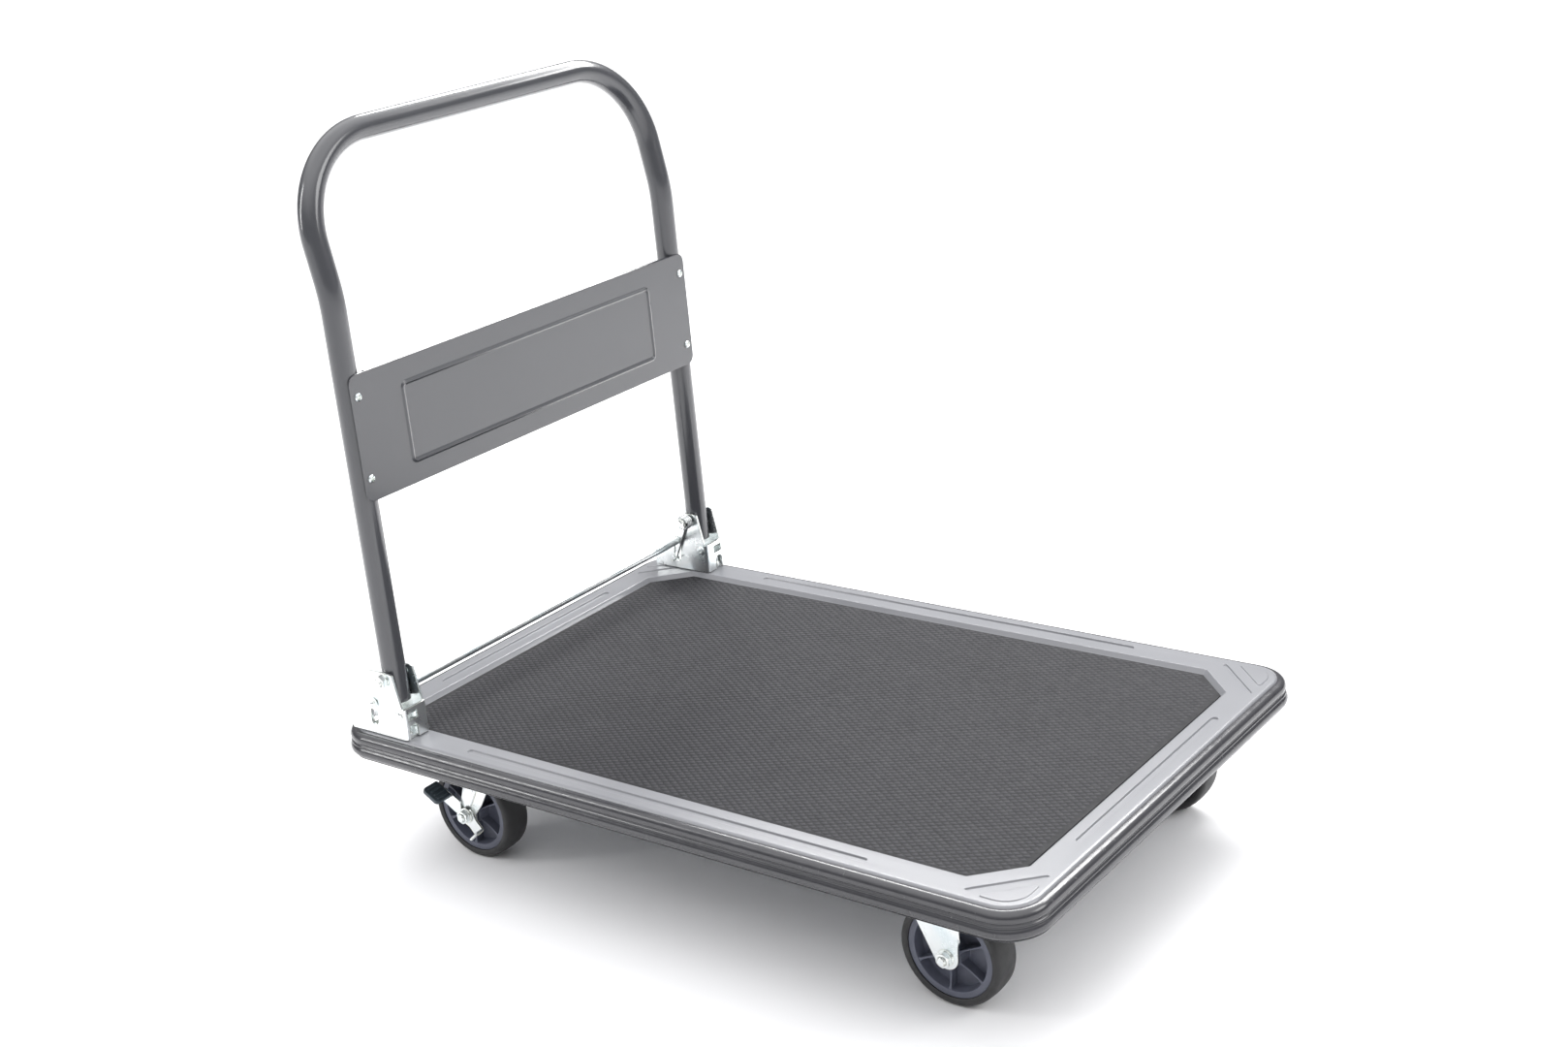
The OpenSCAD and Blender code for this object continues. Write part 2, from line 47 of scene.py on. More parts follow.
# The tray with its recessed field, and the mat with its cut corners.
DECK_L, DECK_W, CORNER_R, DECK_TOP, SKIRT_Z = 898, 586, 37, 163.5, 131.5
TRAY_SHEET, RIM_R = 1.9, 4.5
FIELD_Z, MAT_TOP = 157, 159
MAT_L, MAT_W, MAT_CUT, CUT_GROWTH = 813, 502, 41, 0.59

# The handle and its pivot axis. BAR and RIVET give the foot bar's and the stop rivet's places from that axis.
PIVOT_X, PIVOT_Z, LEG_Y, PIVOT_R = -369, 235, 274, 5
TUBE_R, TUBE_WALL, PANEL_T = 14, 1.6, 1.6
CHEEK_OUT, CHEEK_T, CHEEK_BACK = 17.5, 3.0, 64
BAR_DX, BAR_DZ, BAR_R, SLOT_LEAN = -22, -31, 5, 8.9
RIVET_DX, RIVET_DZ, RIVET_R = 16, -40.5, 3.5

# The casters: forks, axles, top plates and the crowns of the swivelling ones.
TRACK, FRONT_X, REAR_X, TRAIL, AXLE_Z, AXLE_R = 223, 331, 283, 33, 58, 5
REAR_AXLE_X = -REAR_X - TRAIL
FRONT_PLATE_X = FRONT_X - 13
FORK_IN, FORK_OUT, FORK_T = 20.5, 23, 2.5
FORK_MID = FORK_IN + FORK_T / 2
PLATE_Z, PLATE_T, CROWN_Z = 145, 3, 127.6


# ---- camera


CAMERA_PLACE = (1.3424, -1.7227, 1.1745)
CAMERA_YAW, CAMERA_PITCH, CAMERA_ROLL = 38.13, 20.10, -5.47
FOCAL_LENGTH, SENSOR_WIDTH = 48.727, 36


def shift(x, y, z):
    return Matrix.Translation((x, y, z))


def new_object(name, data):
    made = bpy.data.objects.new(name, data)
    bpy.context.scene.collection.objects.link(made)
    return made


def make_camera():
    yaw, pitch, roll = (radians(a) for a in (CAMERA_YAW, CAMERA_PITCH, CAMERA_ROLL))
    forward = Vector((-sin(yaw) * cos(pitch), cos(yaw) * cos(pitch), -sin(pitch)))
    flat_right = forward.cross(Vector((0, 0, 1))).normalized()
    flat_up = flat_right.cross(forward)
    right = cos(roll) * flat_right + sin(roll) * flat_up
    up = cos(roll) * flat_up - sin(roll) * flat_right
    data = bpy.data.cameras.new("camera")
    data.sensor_width = SENSOR_WIDTH
    data.lens = FOCAL_LENGTH
    data.clip_end = 200
    camera = new_object("camera", data)
    turned = Matrix((right, up, -forward)).transposed().to_4x4()
    camera.matrix_world = Matrix.Translation(Vector(CAMERA_PLACE)) @ turned
    bpy.context.scene.camera = camera


make_camera()


# ---- materials


def linear(*rgb):
    """sRGB levels from 0 to 255 as linear values."""
    return tuple((c / 255 / 12.92) if c < 10.3 else ((c / 255 + 0.055) / 1.055) ** 2.4 for c in rgb)


def set_stops(node, stops):
    """Gives a colour ramp its stops: place and colour."""
    elements = node.color_ramp.elements
    while len(elements) < len(stops):
        elements.new(0.5)
    for element, (at, colour) in zip(elements, stops):
        element.position = at
        element.color = (*colour, 1)


class Finish:
    """A node material under construction, with its Principled shader."""

    def __init__(self, name, roughness=0.4, metallic=0.0, coat=0.0, coat_roughness=0.1, specular=0.5):
        self.material = bpy.data.materials.new(name)
        self.material.use_nodes = True
        self.tree = self.material.node_tree
        self.shader = self.tree.nodes["Principled BSDF"]
        levels = {"Roughness": roughness, "Metallic": metallic, "Specular IOR Level": specular}
        levels.update({"Coat Weight": coat, "Coat Roughness": coat_roughness})
        for socket, value in levels.items():
            self.shader.inputs[socket].default_value = value
        self.place = self.node("ShaderNodeTexCoord").outputs["Object"]

    def node(self, kind, inputs=None, **settings):
        made = self.tree.nodes.new(kind)
        for key, value in settings.items():
            setattr(made, key, value)
        for key, value in (inputs or {}).items():
            if isinstance(value, bpy.types.NodeSocket):
                self.tree.links.new(value, made.inputs[key])
            else:
                made.inputs[key].default_value = value
        return made

    def noise(self, scale, detail, rough=0.55):
        inputs = {"Vector": self.place, "Scale": scale, "Detail": detail, "Roughness": rough}
        return self.node("ShaderNodeTexNoise", inputs).outputs["Fac"]

    def remap(self, value, low, high, start=0.3, end=0.7):
        inputs = {"Value": value, "From Min": start, "From Max": end, "To Min": low, "To Max": high}
        return self.node("ShaderNodeMapRange", inputs).outputs["Result"]

    def ramp(self, value, stops):
        made = self.node("ShaderNodeValToRGB", {"Fac": value})
        set_stops(made, stops)
        return made.outputs["Color"]

    def tones(self, value, colour, low, high, start=0.3):
        """The colour from its low share to its high share as the value rises."""
        return self.ramp(value, [(start, shade(colour, low)), (1 - start, shade(colour, high))])

    def mix(self, share, a, b, mode="MIX"):
        first, second = ((*c, 1) if isinstance(c, tuple) else c for c in (a, b))
        inputs = {0: share, 6: first, 7: second}  # the node's sockets for colours; 2 is their result
        return self.node("ShaderNodeMix", inputs, data_type="RGBA", blend_type=mode).outputs[2]

    def edges(self, radius=0.0012):
        """1 along edges, 0 on flats."""
        soft = self.node("ShaderNodeBevel", {"Radius": radius}, samples=4).outputs["Normal"]
        true = self.node("ShaderNodeNewGeometry").outputs["Normal"]
        turn = self.node("ShaderNodeVectorMath", {0: soft, 1: true}, operation="DOT_PRODUCT")
        return self.remap(turn.outputs["Value"], 0.0, 1.0, 0.985, 0.9)

    def link(self, socket, name):
        self.tree.links.new(socket, self.shader.inputs[name])

    def surface(self, colour, rough, spread, *layers):
        """Colour, roughness spread along a noise, and bump layers of (noise, distance in metres)."""
        self.link(colour, "Base Color")
        self.link(self.remap(self.noise(*rough), *spread), "Roughness")
        inputs = {"Strength": 1.0}
        for height, distance in [(self.noise(*noise), distance) for noise, distance in layers]:
            inputs.update(Height=height, Distance=distance)
            inputs["Normal"] = self.node("ShaderNodeBump", inputs).outputs["Normal"]
        self.link(inputs["Normal"], "Normal")
        return self.material


def shade(colour, factor):
    return tuple(min(1.0, c * factor) for c in colour)


def paint(name, colour, roughness, coat):
    """Stove enamel: faint flake and tone drift, orange peel and paler edges."""
    flake, peel = 0.012, 0.000005
    f = Finish(name, coat=coat, coat_roughness=0.12)
    drift = f.tones(f.noise(9, 3), colour, 0.975, 1.025)
    speck = f.tones(f.noise(1600, 2), colour, 1 - flake, 1 + flake, 0.35)
    base = f.mix(0.5, drift, speck)
    worn = f.mix(f.edges(), base, shade(colour, 1.15))
    spread = (roughness - 0.02, roughness + 0.03)
    return f.surface(worn, (12, 1), spread, ((420, 2), peel), ((60, 2), peel * 3))


def zinc_plate(name, roughness=0.28, tint=1.0):
    """Bright zinc: drifting blue, white and yellow passivation, yellower edges and a faint grain."""
    f = Finish(name, metallic=1.0)
    cold, white, warm = (0.66, 0.76, 0.79), (0.84, 0.87, 0.87), (0.86, 0.85, 0.76)
    stops = ((0.30, cold), (0.48, white), (0.66, white), (0.80, warm))
    drift = f.ramp(f.noise(16, 2, 0.5), [(at, shade(c, tint)) for at, c in stops])
    worn = f.mix(f.edges(0.0009), drift, (0.80, 0.79, 0.66))
    spread = (roughness - 0.05, roughness + 0.07)
    return f.surface(worn, (50, 3), spread, ((700, 2), 0.000002), ((90, 2), 0.000012))


def moulded(name, colour, roughness, grain, specular=0.5):
    """Moulded plastic or rubber: fine grain, slight tone drift and paler edges."""
    f = Finish(name, specular=specular)
    base = f.tones(f.noise(24, 4), colour, 0.9, 1.1)
    worn = f.mix(f.edges(), base, shade(colour, 1.3))
    spread = (roughness - 0.06, roughness + 0.08)
    return f.surface(worn, (90, 4), spread, ((1400, 3), grain), ((110, 3), 0.00001))


def mat_rubber(name, colour):
    """Mat: leathery grain; painted shade low between the raised diamonds; tops painted lighter as a painted
    highlight, and scuffed.
    """
    f = Finish(name, specular=0.25)
    base = f.tones(f.noise(11, 5), colour, 0.93, 1.08)
    scuff = f.remap(f.noise(300, 4), 0.0, 0.5, 0.5, 0.8)
    high = f.node("ShaderNodeSeparateXYZ", {"Vector": f.place}).outputs["Z"]
    rise = f.remap(high, 0.0, 1.0, MAT_TOP * MM - 0.0001, MAT_TOP * MM + 0.0007)
    # Tops: the base lightened by 1.35 as a painted highlight, with scuff marks as wear.
    worn = f.mix(scuff, f.mix(1.0, base, (1.35, 1.35, 1.35), "MULTIPLY"), shade(colour, 1.7))
    # Painted shade: the base darkened to 0.55 low between the diamonds, blending up to the tops by height.
    shaded_hollows_lit_tops = f.mix(rise, f.mix(1.0, base, (0.55, 0.55, 0.55), "MULTIPLY"), worn)
    return f.surface(shaded_hollows_lit_tops, (160, 4), (0.58, 0.72), ((1500, 3), 0.00004), ((500, 2), 0.00005))


TRAY_PAINT = paint("tray_paint", linear(124, 125, 129), roughness=0.3, coat=0.25)
HANDLE_PAINT = paint("handle_paint", linear(66, 67, 71), roughness=0.2, coat=0.7)
ZINC = zinc_plate("zinc")
# A darker copy of the zinc, every tone at 0.72: painted shade for the spring and the bushes, which sit in
# shade.
ZINC_SHADED = zinc_plate("zinc_shaded", roughness=0.3, tint=0.72)
MAT = mat_rubber("mat", linear(46, 46, 49))
BUMPER = moulded("bumper", linear(52, 52, 56), roughness=0.2, grain=0.000003, specular=0.7)
HUB = moulded("hub", linear(88, 91, 104), roughness=0.42, grain=0.00002)
TYRE = moulded("tyre", linear(44, 44, 45), roughness=0.55, grain=0.00003)
PEDAL = moulded("pedal", linear(58, 68, 75), roughness=0.35, grain=0.00002)


# ---- shapes


class Shape:
    """Vertices in millimetres and faces, gathered from parts."""

    def __init__(self):
        self.v = []
        self.f = []

    def add(self, part, place=None):
        verts, faces = part
        first = len(self.v)
        for p in verts:
            q = Vector(p)
            self.v.append(tuple(place @ q) if place else tuple(q))
        self.f.extend(tuple(i + first for i in face) for face in faces)
        return self


def to_bmesh(verts, faces, weld):
    """The faces without repeated ones, their vertices joined where they are closer than weld."""
    bm = bmesh.new()
    made = [bm.verts.new(p) for p in verts]
    for face in faces:
        try:
            bm.faces.new([made[i] for i in face])
        except ValueError:
            pass
    if weld:
        bmesh.ops.remove_doubles(bm, verts=bm.verts, dist=weld)
    return bm


def make(name, shape, finish, body, replaces, side=1, angle=35, weld=WELD, sheet=0):
    """One piece from a Shape: mirrored for the right side, normals outward, edges sharp from the angle on.
    A sheet is an open surface that faces up and is thickened downward."""
    points = [(p[0] * MM, p[1] * MM * side, p[2] * MM) for p in shape.v]
    bm = to_bmesh(points, shape.f, weld * MM)
    bmesh.ops.recalc_face_normals(bm, faces=bm.faces)
    if sheet and sum(face.normal.z * face.calc_area() for face in bm.faces) < 0:
        bmesh.ops.reverse_faces(bm, faces=bm.faces)
    mesh = bpy.data.meshes.new(name)
    bm.to_mesh(mesh)
    bm.free()
    for polygon in mesh.polygons:
        polygon.use_smooth = True
    mesh.set_sharp_from_angle(angle=radians(angle))
    piece = new_object(name, mesh)
    mesh.materials.append(finish)
    if sheet:
        thicken = piece.modifiers.new("sheet", "SOLIDIFY")
        thicken.thickness = sheet * MM
        thicken.offset = -1
        thicken.use_even_offset = False
    piece.modifiers.new("normals", "WEIGHTED_NORMAL").keep_sharp = True
    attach(piece, body)
    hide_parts(*replaces)


def make_zinc(node, kind, shape, body="frame", side=1, angle=35):
    """A zinc-plated piece, named after the one node it stands for."""
    make(f"{node}_{kind}", shape, ZINC, body, (node,), side, angle)


def mirrored(s):
    """Mirrors the left side's places to the right side for -1."""
    return Matrix.Diagonal((1, s, 1, 1))


def turns(n):
    """The n angles of a full turn."""
    return [2 * pi * j / n for j in range(n)]


def ring_at(radius, z, n):
    return [(radius * cos(a), radius * sin(a), z) for a in turns(n)]


def loft(rings, wrap=False, caps=False):
    """Skin over closed rings of equal length; wrap joins the last to the first, caps closes both ends."""
    n = len(rings[0])
    verts = [tuple(p) for ring in rings for p in ring]
    faces = []
    for i in range(len(rings) if wrap else len(rings) - 1):
        a, b = i * n, ((i + 1) % len(rings)) * n
        for j in range(n):
            k = (j + 1) % n
            faces.append((a + j, a + k, b + k, b + j))
    if caps:
        last = len(verts) - n
        faces.append(tuple(range(n - 1, -1, -1)))
        faces.append(tuple(last + j for j in range(n)))
    return verts, faces


def lathe(profile, n=48, wrap=False):
    """Turns (radius, height) points about the local z axis; a radius of 0 closes to a pole."""
    verts, faces, rows = [], [], []
    for radius, height in profile:
        ring = ring_at(radius, height, 1 if radius < 1e-6 else n)
        rows.append(list(range(len(verts), len(verts) + len(ring))))
        verts += ring
    for a, b in zip(rows, rows[1:] + ([rows[0]] if wrap else [])):
        for j in range(n):
            k = (j + 1) % n
            if len(a) == 1:
                faces.append((a[0], b[k], b[j]))
            elif len(b) == 1:
                faces.append((a[j], a[k], b[0]))
            else:
                faces.append((a[j], a[k], b[k], b[j]))
    return verts, faces


def rod(radius, low, high, n):
    return lathe([(0, low), (radius, low), (radius, high), (0, high)], n)


def hexagon(flats, low, high, bore=0.0, chamfer=0.6):
    """Hexagonal head or nut along z, its corners rounded off at both faces, with a chamfered bore."""
    n, lead = 60, 0.5
    half = flats / 2
    inner = half * 0.97
    slope = chamfer * 1.4 / (half / cos(pi / 6) - inner)

    def flank(face, sign):
        out = []
        for a in turns(n):
            radius = half / cos((a + pi / 6) % (pi / 3) - pi / 6)
            drop = max(0.0, radius - inner) * slope * sign
            out.append((radius * cos(a), radius * sin(a), face - drop))
        return out

    rings = [ring_at(inner, low, n), flank(low, -1), flank(high, 1), ring_at(inner, high, n)]
    if not bore:
        return loft(rings, caps=True)
    rings += [ring_at(bore + lead, high, n), ring_at(bore, high - lead, n)]
    rings += [ring_at(bore, low + lead, n), ring_at(bore + lead, low, n)]
    return loft(rings, wrap=True)


def thread(radius, low, high, pitch=1.4, depth=0.45, n=24):
    """Bolt end with a real helical thread and a chamfered tip at high."""
    tip_length, tip_slope, rings_per_pitch = 1.2, 0.7, 6
    steps = max(2, int((high - low) / pitch * rings_per_pitch))
    rings = []
    for i in range(steps + 1):
        z = low + (high - low) * i / steps
        tip = max(0.0, tip_length - (high - z))
        ring = []
        for j, a in enumerate(turns(n)):
            wave = abs((z / pitch - j / n) % 1.0 - 0.5) * 2
            r = radius - depth * wave - tip * tip_slope
            ring.append((r * cos(a), r * sin(a), z))
        rings.append(ring)
    return loft(rings, caps=True)


def washer(inner, outer, low, high):
    c = min(0.3, (high - low) / 4)
    rim = [(outer - c, low), (outer, low + c), (outer, high - c), (outer - c, high)]
    return lathe([(inner, low), *rim, (inner, high)], 40, True)


def along_y(x, z, y):
    """Local z runs along +Y from (x, y, z)."""
    return shift(x, y, z) @ Matrix(((1, 0, 0), (0, 0, 1), (0, -1, 0))).to_4x4()


def along_x(x, y, z):
    """Local z runs along +X from (x, y, z)."""
    return shift(x, y, z) @ Matrix(((0, 0, 1), (1, 0, 0), (0, 1, 0))).to_4x4()


def stand_up(y, sign=1):
    """Stands a flat plate up at y: its second axis becomes z and its thickness runs along y."""
    return shift(0, y, 0) @ Matrix(((1, 0, 0), (0, 0, sign), (0, 1, 0))).to_4x4()


def circle(cx, cy, r, n):
    return [(cx + r * cos(a), cy + r * sin(a)) for a in turns(n)]


def rounded(corners, steps=5):
    """Closed outline through (x, y, radius) corners, each rounded."""
    out = []
    n = len(corners)
    for i in range(n):
        p = Vector(corners[i][:2])
        r = corners[i][2] if len(corners[i]) > 2 else 0
        a = (Vector(corners[i - 1][:2]) - p).normalized()
        b = (Vector(corners[(i + 1) % n][:2]) - p).normalized()
        angle = a.angle(b)
        if r <= 0 or angle > pi - 0.01:
            out.append((p.x, p.y))
            continue
        back = r / tan(angle / 2)
        centre = p + (a + b).normalized() * (r / sin(angle / 2))
        start, end = p + a * back - centre, p + b * back - centre
        span = start.angle_signed(end)
        a0 = atan2(start.y, start.x)
        for k in range(steps + 1):
            t = a0 - span * k / steps
            out.append((centre.x + r * cos(t), centre.y + r * sin(t)))
    return out


def rounded_box(length, width, r, steps):
    x, y = length / 2, width / 2
    return rounded([(x, -y, r), (x, y, r), (-x, y, r), (-x, -y, r)], steps)


def rectangle(x0, x1, half, r, steps):
    """Rounded outline from x0 to x1, half wide to either side of y = 0."""
    return rounded([(x0, -half, r), (x1, -half, r), (x1, half, r), (x0, half, r)], steps)


def stadium(x0, y0, x1, y1, r, n=10):
    """Outline of a round-ended slot between two centres."""
    a = atan2(y1 - y0, x1 - x0)
    out = []
    for cx, cy, start in ((x1, y1, a - pi / 2), (x0, y0, a + pi / 2)):
        for k in range(n + 1):
            t = start + pi * k / n
            out.append((cx + r * cos(t), cy + r * sin(t)))
    return out


def inset(loop, d):
    """The loop moved d towards its inside (negative: outside)."""
    n = len(loop)
    area = sum(p[0] * q[1] - q[0] * p[1] for p, q in zip(loop, loop[1:] + loop[:1]))
    s = 1 if area > 0 else -1
    out = []
    for i in range(n):
        p = Vector(loop[i])
        a = (p - Vector(loop[i - 1])).normalized()
        b = (Vector(loop[(i + 1) % n]) - p).normalized()
        na, nb = Vector((-a.y, a.x)) * s, Vector((-b.y, b.x)) * s
        q = p + (na + nb) * (d / max(0.35, 1 + na.dot(nb)))
        out.append((q.x, q.y))
    return out


def level(loop, z):
    return [(p[0], p[1], z) for p in loop]


def fill(loops, z):
    """Flat triangles between an outline and its holes."""
    points = [Vector((p[0], p[1], 0)) for loop in loops for p in loop]
    faces = tessellate_polygon([[Vector((p[0], p[1], 0)) for p in loop] for loop in loops])
    return [(p.x, p.y, z) for p in points], [tuple(face) for face in faces]


def plate(outline, t, bevel=0.5, low=None, holes=()):
    """Flat plate with rounded edges, its thickness along z, centred unless low is given."""
    shape = Shape()
    z0 = -t / 2 if low is None else low
    z1 = z0 + t
    k = bevel * (1 - sqrt(0.5))
    levels = ((z0, bevel), (z0 + k, k), (z0 + bevel, 0), (z1 - bevel, 0), (z1 - k, k), (z1, bevel))
    loops = [(outline, 1)] + [(h, -1) for h in holes]
    for loop, sign in loops:
        shape.add(loft([level(inset(loop, sign * d), z) for z, d in levels]))
    for z in (z0, z1):
        shape.add(fill([inset(loop, sign * bevel) for loop, sign in loops], z))
    return shape.v, shape.f


def bend(part, folds, cuts=6):
    """Folds a flat plate (u, v, w) about lines of constant u. folds: (start u, middle radius, degrees).
    The result lies in (x, y) = the folded path and z = v; w positive is on the path's left."""
    bm = to_bmesh(*part, WELD)
    for start, radius, degrees in folds:
        length = radius * radians(abs(degrees))
        for k in range(cuts + 1):
            u = start + length * k / cuts
            geom = bm.verts[:] + bm.edges[:] + bm.faces[:]
            bmesh.ops.bisect_plane(bm, geom=geom, dist=1e-5, plane_co=(u, 0, 0), plane_no=(1, 0, 0))
    bm.verts.index_update()

    def path(u):
        x = y = heading = at = 0.0
        for start, radius, degrees in folds:
            if u <= start:
                break
            x += (start - at) * cos(heading)
            y += (start - at) * sin(heading)
            s = 1 if degrees > 0 else -1
            full = radius * radians(abs(degrees))
            done = min(u - start, full)
            cx, cy = x - s * radius * sin(heading), y + s * radius * cos(heading)
            heading += s * done / radius
            x, y = cx + s * radius * sin(heading), cy - s * radius * cos(heading)
            at = start + done
            if u < start + full:
                return x, y, heading
        return x + (u - at) * cos(heading), y + (u - at) * sin(heading), heading

    out = []
    for vert in bm.verts:
        u, v, w = vert.co
        x, y, heading = path(u)
        out.append((x - w * sin(heading), y + w * cos(heading), v))
    faces = [tuple(vert.index for vert in face.verts) for face in bm.faces]
    bm.free()
    return out, faces


def sweep(points, radius, n, inner=None):
    """Round bar along points, or a tube if inner is given, with a frame carried without twist."""
    pts = [Vector(p) for p in points]
    tangents = []
    for i in range(len(pts)):
        a, b = pts[max(i - 1, 0)], pts[min(i + 1, len(pts) - 1)]
        tangents.append((b - a).normalized())
    side = Vector((0, 1, 0))
    side = (side - tangents[0] * side.dot(tangents[0])).normalized()
    rings = {r: [] for r in ([radius] if inner is None else [radius, inner])}
    for p, t in zip(pts, tangents):
        side = (side - t * side.dot(t)).normalized()
        other = t.cross(side)
        for r in rings:
            rings[r].append([p + side * (r * cos(a)) + other * (r * sin(a)) for a in turns(n)])
    if inner is None:
        return loft(rings[radius], caps=True)
    return loft(rings[radius] + rings[inner][::-1], wrap=True)


def arc_points(centre, radius, start, end, steps):
    angles = [start + (end - start) * k / steps for k in range(steps + 1)]
    return [(centre[0] + radius * cos(a), centre[1] + radius * sin(a)) for a in angles]


# ---- deck


def mat_outline(grow, r=5.0):
    """The mat's outline with its cut corners, moved outward by grow."""
    a, b = MAT_L / 2 + grow, MAT_W / 2 + grow
    c = MAT_CUT + grow * CUT_GROWTH
    corners = [(a, c - b), (a, b - c), (a - c, b), (c - a, b)]
    corners += [(-x, -y) for x, y in corners]
    return rounded([(x, y, r) for x, y in corners], 6)


def pressed(shape, loop, depth, slope=1.6):
    """Closes a hole in the top sheet with a shallow soft-edged pressing (negative depth: raised)."""
    levels = ((0.0, 0.0), (0.2, 0.06), (0.45, 0.32), (0.7, 0.84), (0.9, 1.0), (1.25, 1.0))
    shape.add(loft([level(inset(loop, slope * t), DECK_TOP - depth * d) for t, d in levels]))
    shape.add(fill([inset(loop, slope * 1.25)], DECK_TOP - depth))


def make_tray():
    """Sheet tray: skirt, rounded rim, border with beads and corner embosses, sloped wall and field."""
    shape = Shape()
    hem, flat = 0.6, RIM_R + 0.5
    outer = rounded_box(DECK_L, DECK_W, CORNER_R, 14)
    rings = [level(inset(outer, hem), SKIRT_Z), level(outer, SKIRT_Z + hem)]
    for k in range(9):
        t = pi / 2 * k / 8
        back, z = RIM_R * (1 - cos(t)), DECK_TOP - RIM_R + RIM_R * sin(t)
        rings.append(level(inset(outer, back), z))
    rings.append(level(inset(outer, flat), DECK_TOP))
    shape.add(loft(rings))
    wall_top, wall_foot = 6.2, 0.5
    wall = ((wall_top, 0.0), (5.7, 0.08), (5.0, 0.55), (1.8, 3.9), (0.9, 4.6))
    wall += ((wall_foot, 5.0), (wall_foot, DECK_TOP - FIELD_Z))
    shape.add(loft([level(mat_outline(grow), DECK_TOP - drop) for grow, drop in wall]))
    shape.add(fill([mat_outline(wall_foot)], FIELD_Z))
    loops = [inset(outer, flat), mat_outline(wall_top)]
    side_y, end_x, side_half, end_half, bead_r = DECK_W / 2 - 18, DECK_L / 2 - 20, 263, 147, 4.6
    holes = []
    for s in (-1, 1):
        holes.append((stadium(-side_half, s * side_y, side_half, s * side_y, bead_r), 2.0))
        holes.append((stadium(s * end_x, -end_half, s * end_x, end_half, bead_r), 2.0))
    for sx in (-1, 1):
        for sy in (-1, 1):
            x, y = sx * DECK_L / 2, sy * DECK_W / 2
            holes.append((stadium(x - sx * 68, y - sy * 17, x - sx * 14, y - sy * 71, 2.8), 1.6))
            near, far = 9.5, 56
            triangle = [(far, near, 3), (near, near, 27), (near, far, 3)]
            holes.append((rounded([(x - sx * u, y - sy * v, r) for u, v, r in triangle], 8), -1.1))
    for loop, depth in holes:
        pressed(shape, loop, depth)
        loops.append(loop)
    shape.add(fill(loops, DECK_TOP))
    replaces = ("deck_tray",)
    make("deck_tray_shell", shape, TRAY_PAINT, "frame", replaces, angle=40, sheet=TRAY_SHEET)


def make_mat():
    """Mat with cut corners and raised diamonds on a rhombic lattice."""
    sunk, margin = 0.02, 5
    step_x, step_y, rise, foot, top = 12.2, 7.8, 0.75, 0.84, 0.55
    hx, hy = step_x / 2 * foot, step_y / 2 * foot
    a, b, c = MAT_L / 2 - margin, MAT_W / 2 - margin, MAT_CUT - margin * CUT_GROWTH
    shape = Shape().add(plate(mat_outline(0, 1.5), MAT_TOP - FIELD_Z + sunk, low=FIELD_Z - sunk))
    for i in range(-34, 35):
        for j in range(-33, 34):
            for half in (0, 1):
                x, y = (i + half / 2) * step_x, (j + half / 2) * step_y
                if abs(x) > a or abs(y) > b or abs(x) + abs(y) > a + b - c:
                    continue
                rings = []
                for k, z in ((1, MAT_TOP - 0.1), (top, MAT_TOP + rise)):
                    u, v = hx * k, hy * k
                    rings.append([(x + u, y, z), (x, y + v, z), (x - u, y, z), (x, y - v, z)])
                shape.add(loft(rings, caps=True))
    make("deck_mat_sheet", shape, MAT, "frame", ("deck_mat",), angle=60, weld=0)


def make_bumper():
    """Extruded vinyl edge: upper lobe, fine ridge, lower lobe and a thin lip, swept round the tray."""
    lobe_r = 7.6
    profile = [(-0.6, 160.9), (0.3, 161.35)]
    profile += arc_points((1.5, 153.6), lobe_r, radians(88), radians(-36), 18)
    profile += [(7.9, 148.3), (8.7, 147.7), (9.3, 146.9), (9.3, 146.0), (8.8, 145.3)]
    profile += arc_points((3.4, 139.6), lobe_r, radians(42), radians(-70), 16)
    profile += [(6.2, 131.9), (6.6, 131.3), (6.1, 130.7), (4.6, 130.5), (0.4, 130.6), (-0.6, 131.2)]
    rings = []
    for cx, cy, start in ((1, -1, -90), (1, 1, 0), (-1, 1, 90), (-1, -1, 180)):
        x, y = cx * (DECK_L / 2 - CORNER_R), cy * (DECK_W / 2 - CORNER_R)
        for k in range(17):
            t = radians(start + 90 * k / 16)
            reach = [(CORNER_R + out, z) for out, z in profile]
            rings.append([(x + r * cos(t), y + r * sin(t), z) for r, z in reach])
    strip = Shape().add(loft(rings, wrap=True))
    make("bumper_strip", strip, BUMPER, "frame", ("bumper",), angle=50)


def make_rails():
    """Rolled channels under the deck that carry the casters."""
    half, height, t, r, end, chamfer = 46, 10, 2, 2.5, 400, 0.4
    section = rounded([(-half, height), (-half, 0, r), (half, 0, r), (half, height)])
    half_in, r_in = half - t, r - 1.5
    section += rounded([(half_in, height), (half_in, t, r_in), (-half_in, t, r_in), (-half_in, height)])
    for name, s in SIDES:
        rings = []
        for x in (-end, chamfer - end, end - chamfer, end):
            shrink = 0.15 if abs(x) == end else 0
            rings.append([(x, TRACK + y * (1 - shrink / half), PLATE_Z + z) for y, z in section])
        shape = Shape().add(loft(rings, caps=True))
        make(f"rail_{name}_channel", shape, TRAY_PAINT, "frame", (f"rail_{name}",), s, 40)


make_tray()
make_mat()
make_bumper()
make_rails()


# ---- handle


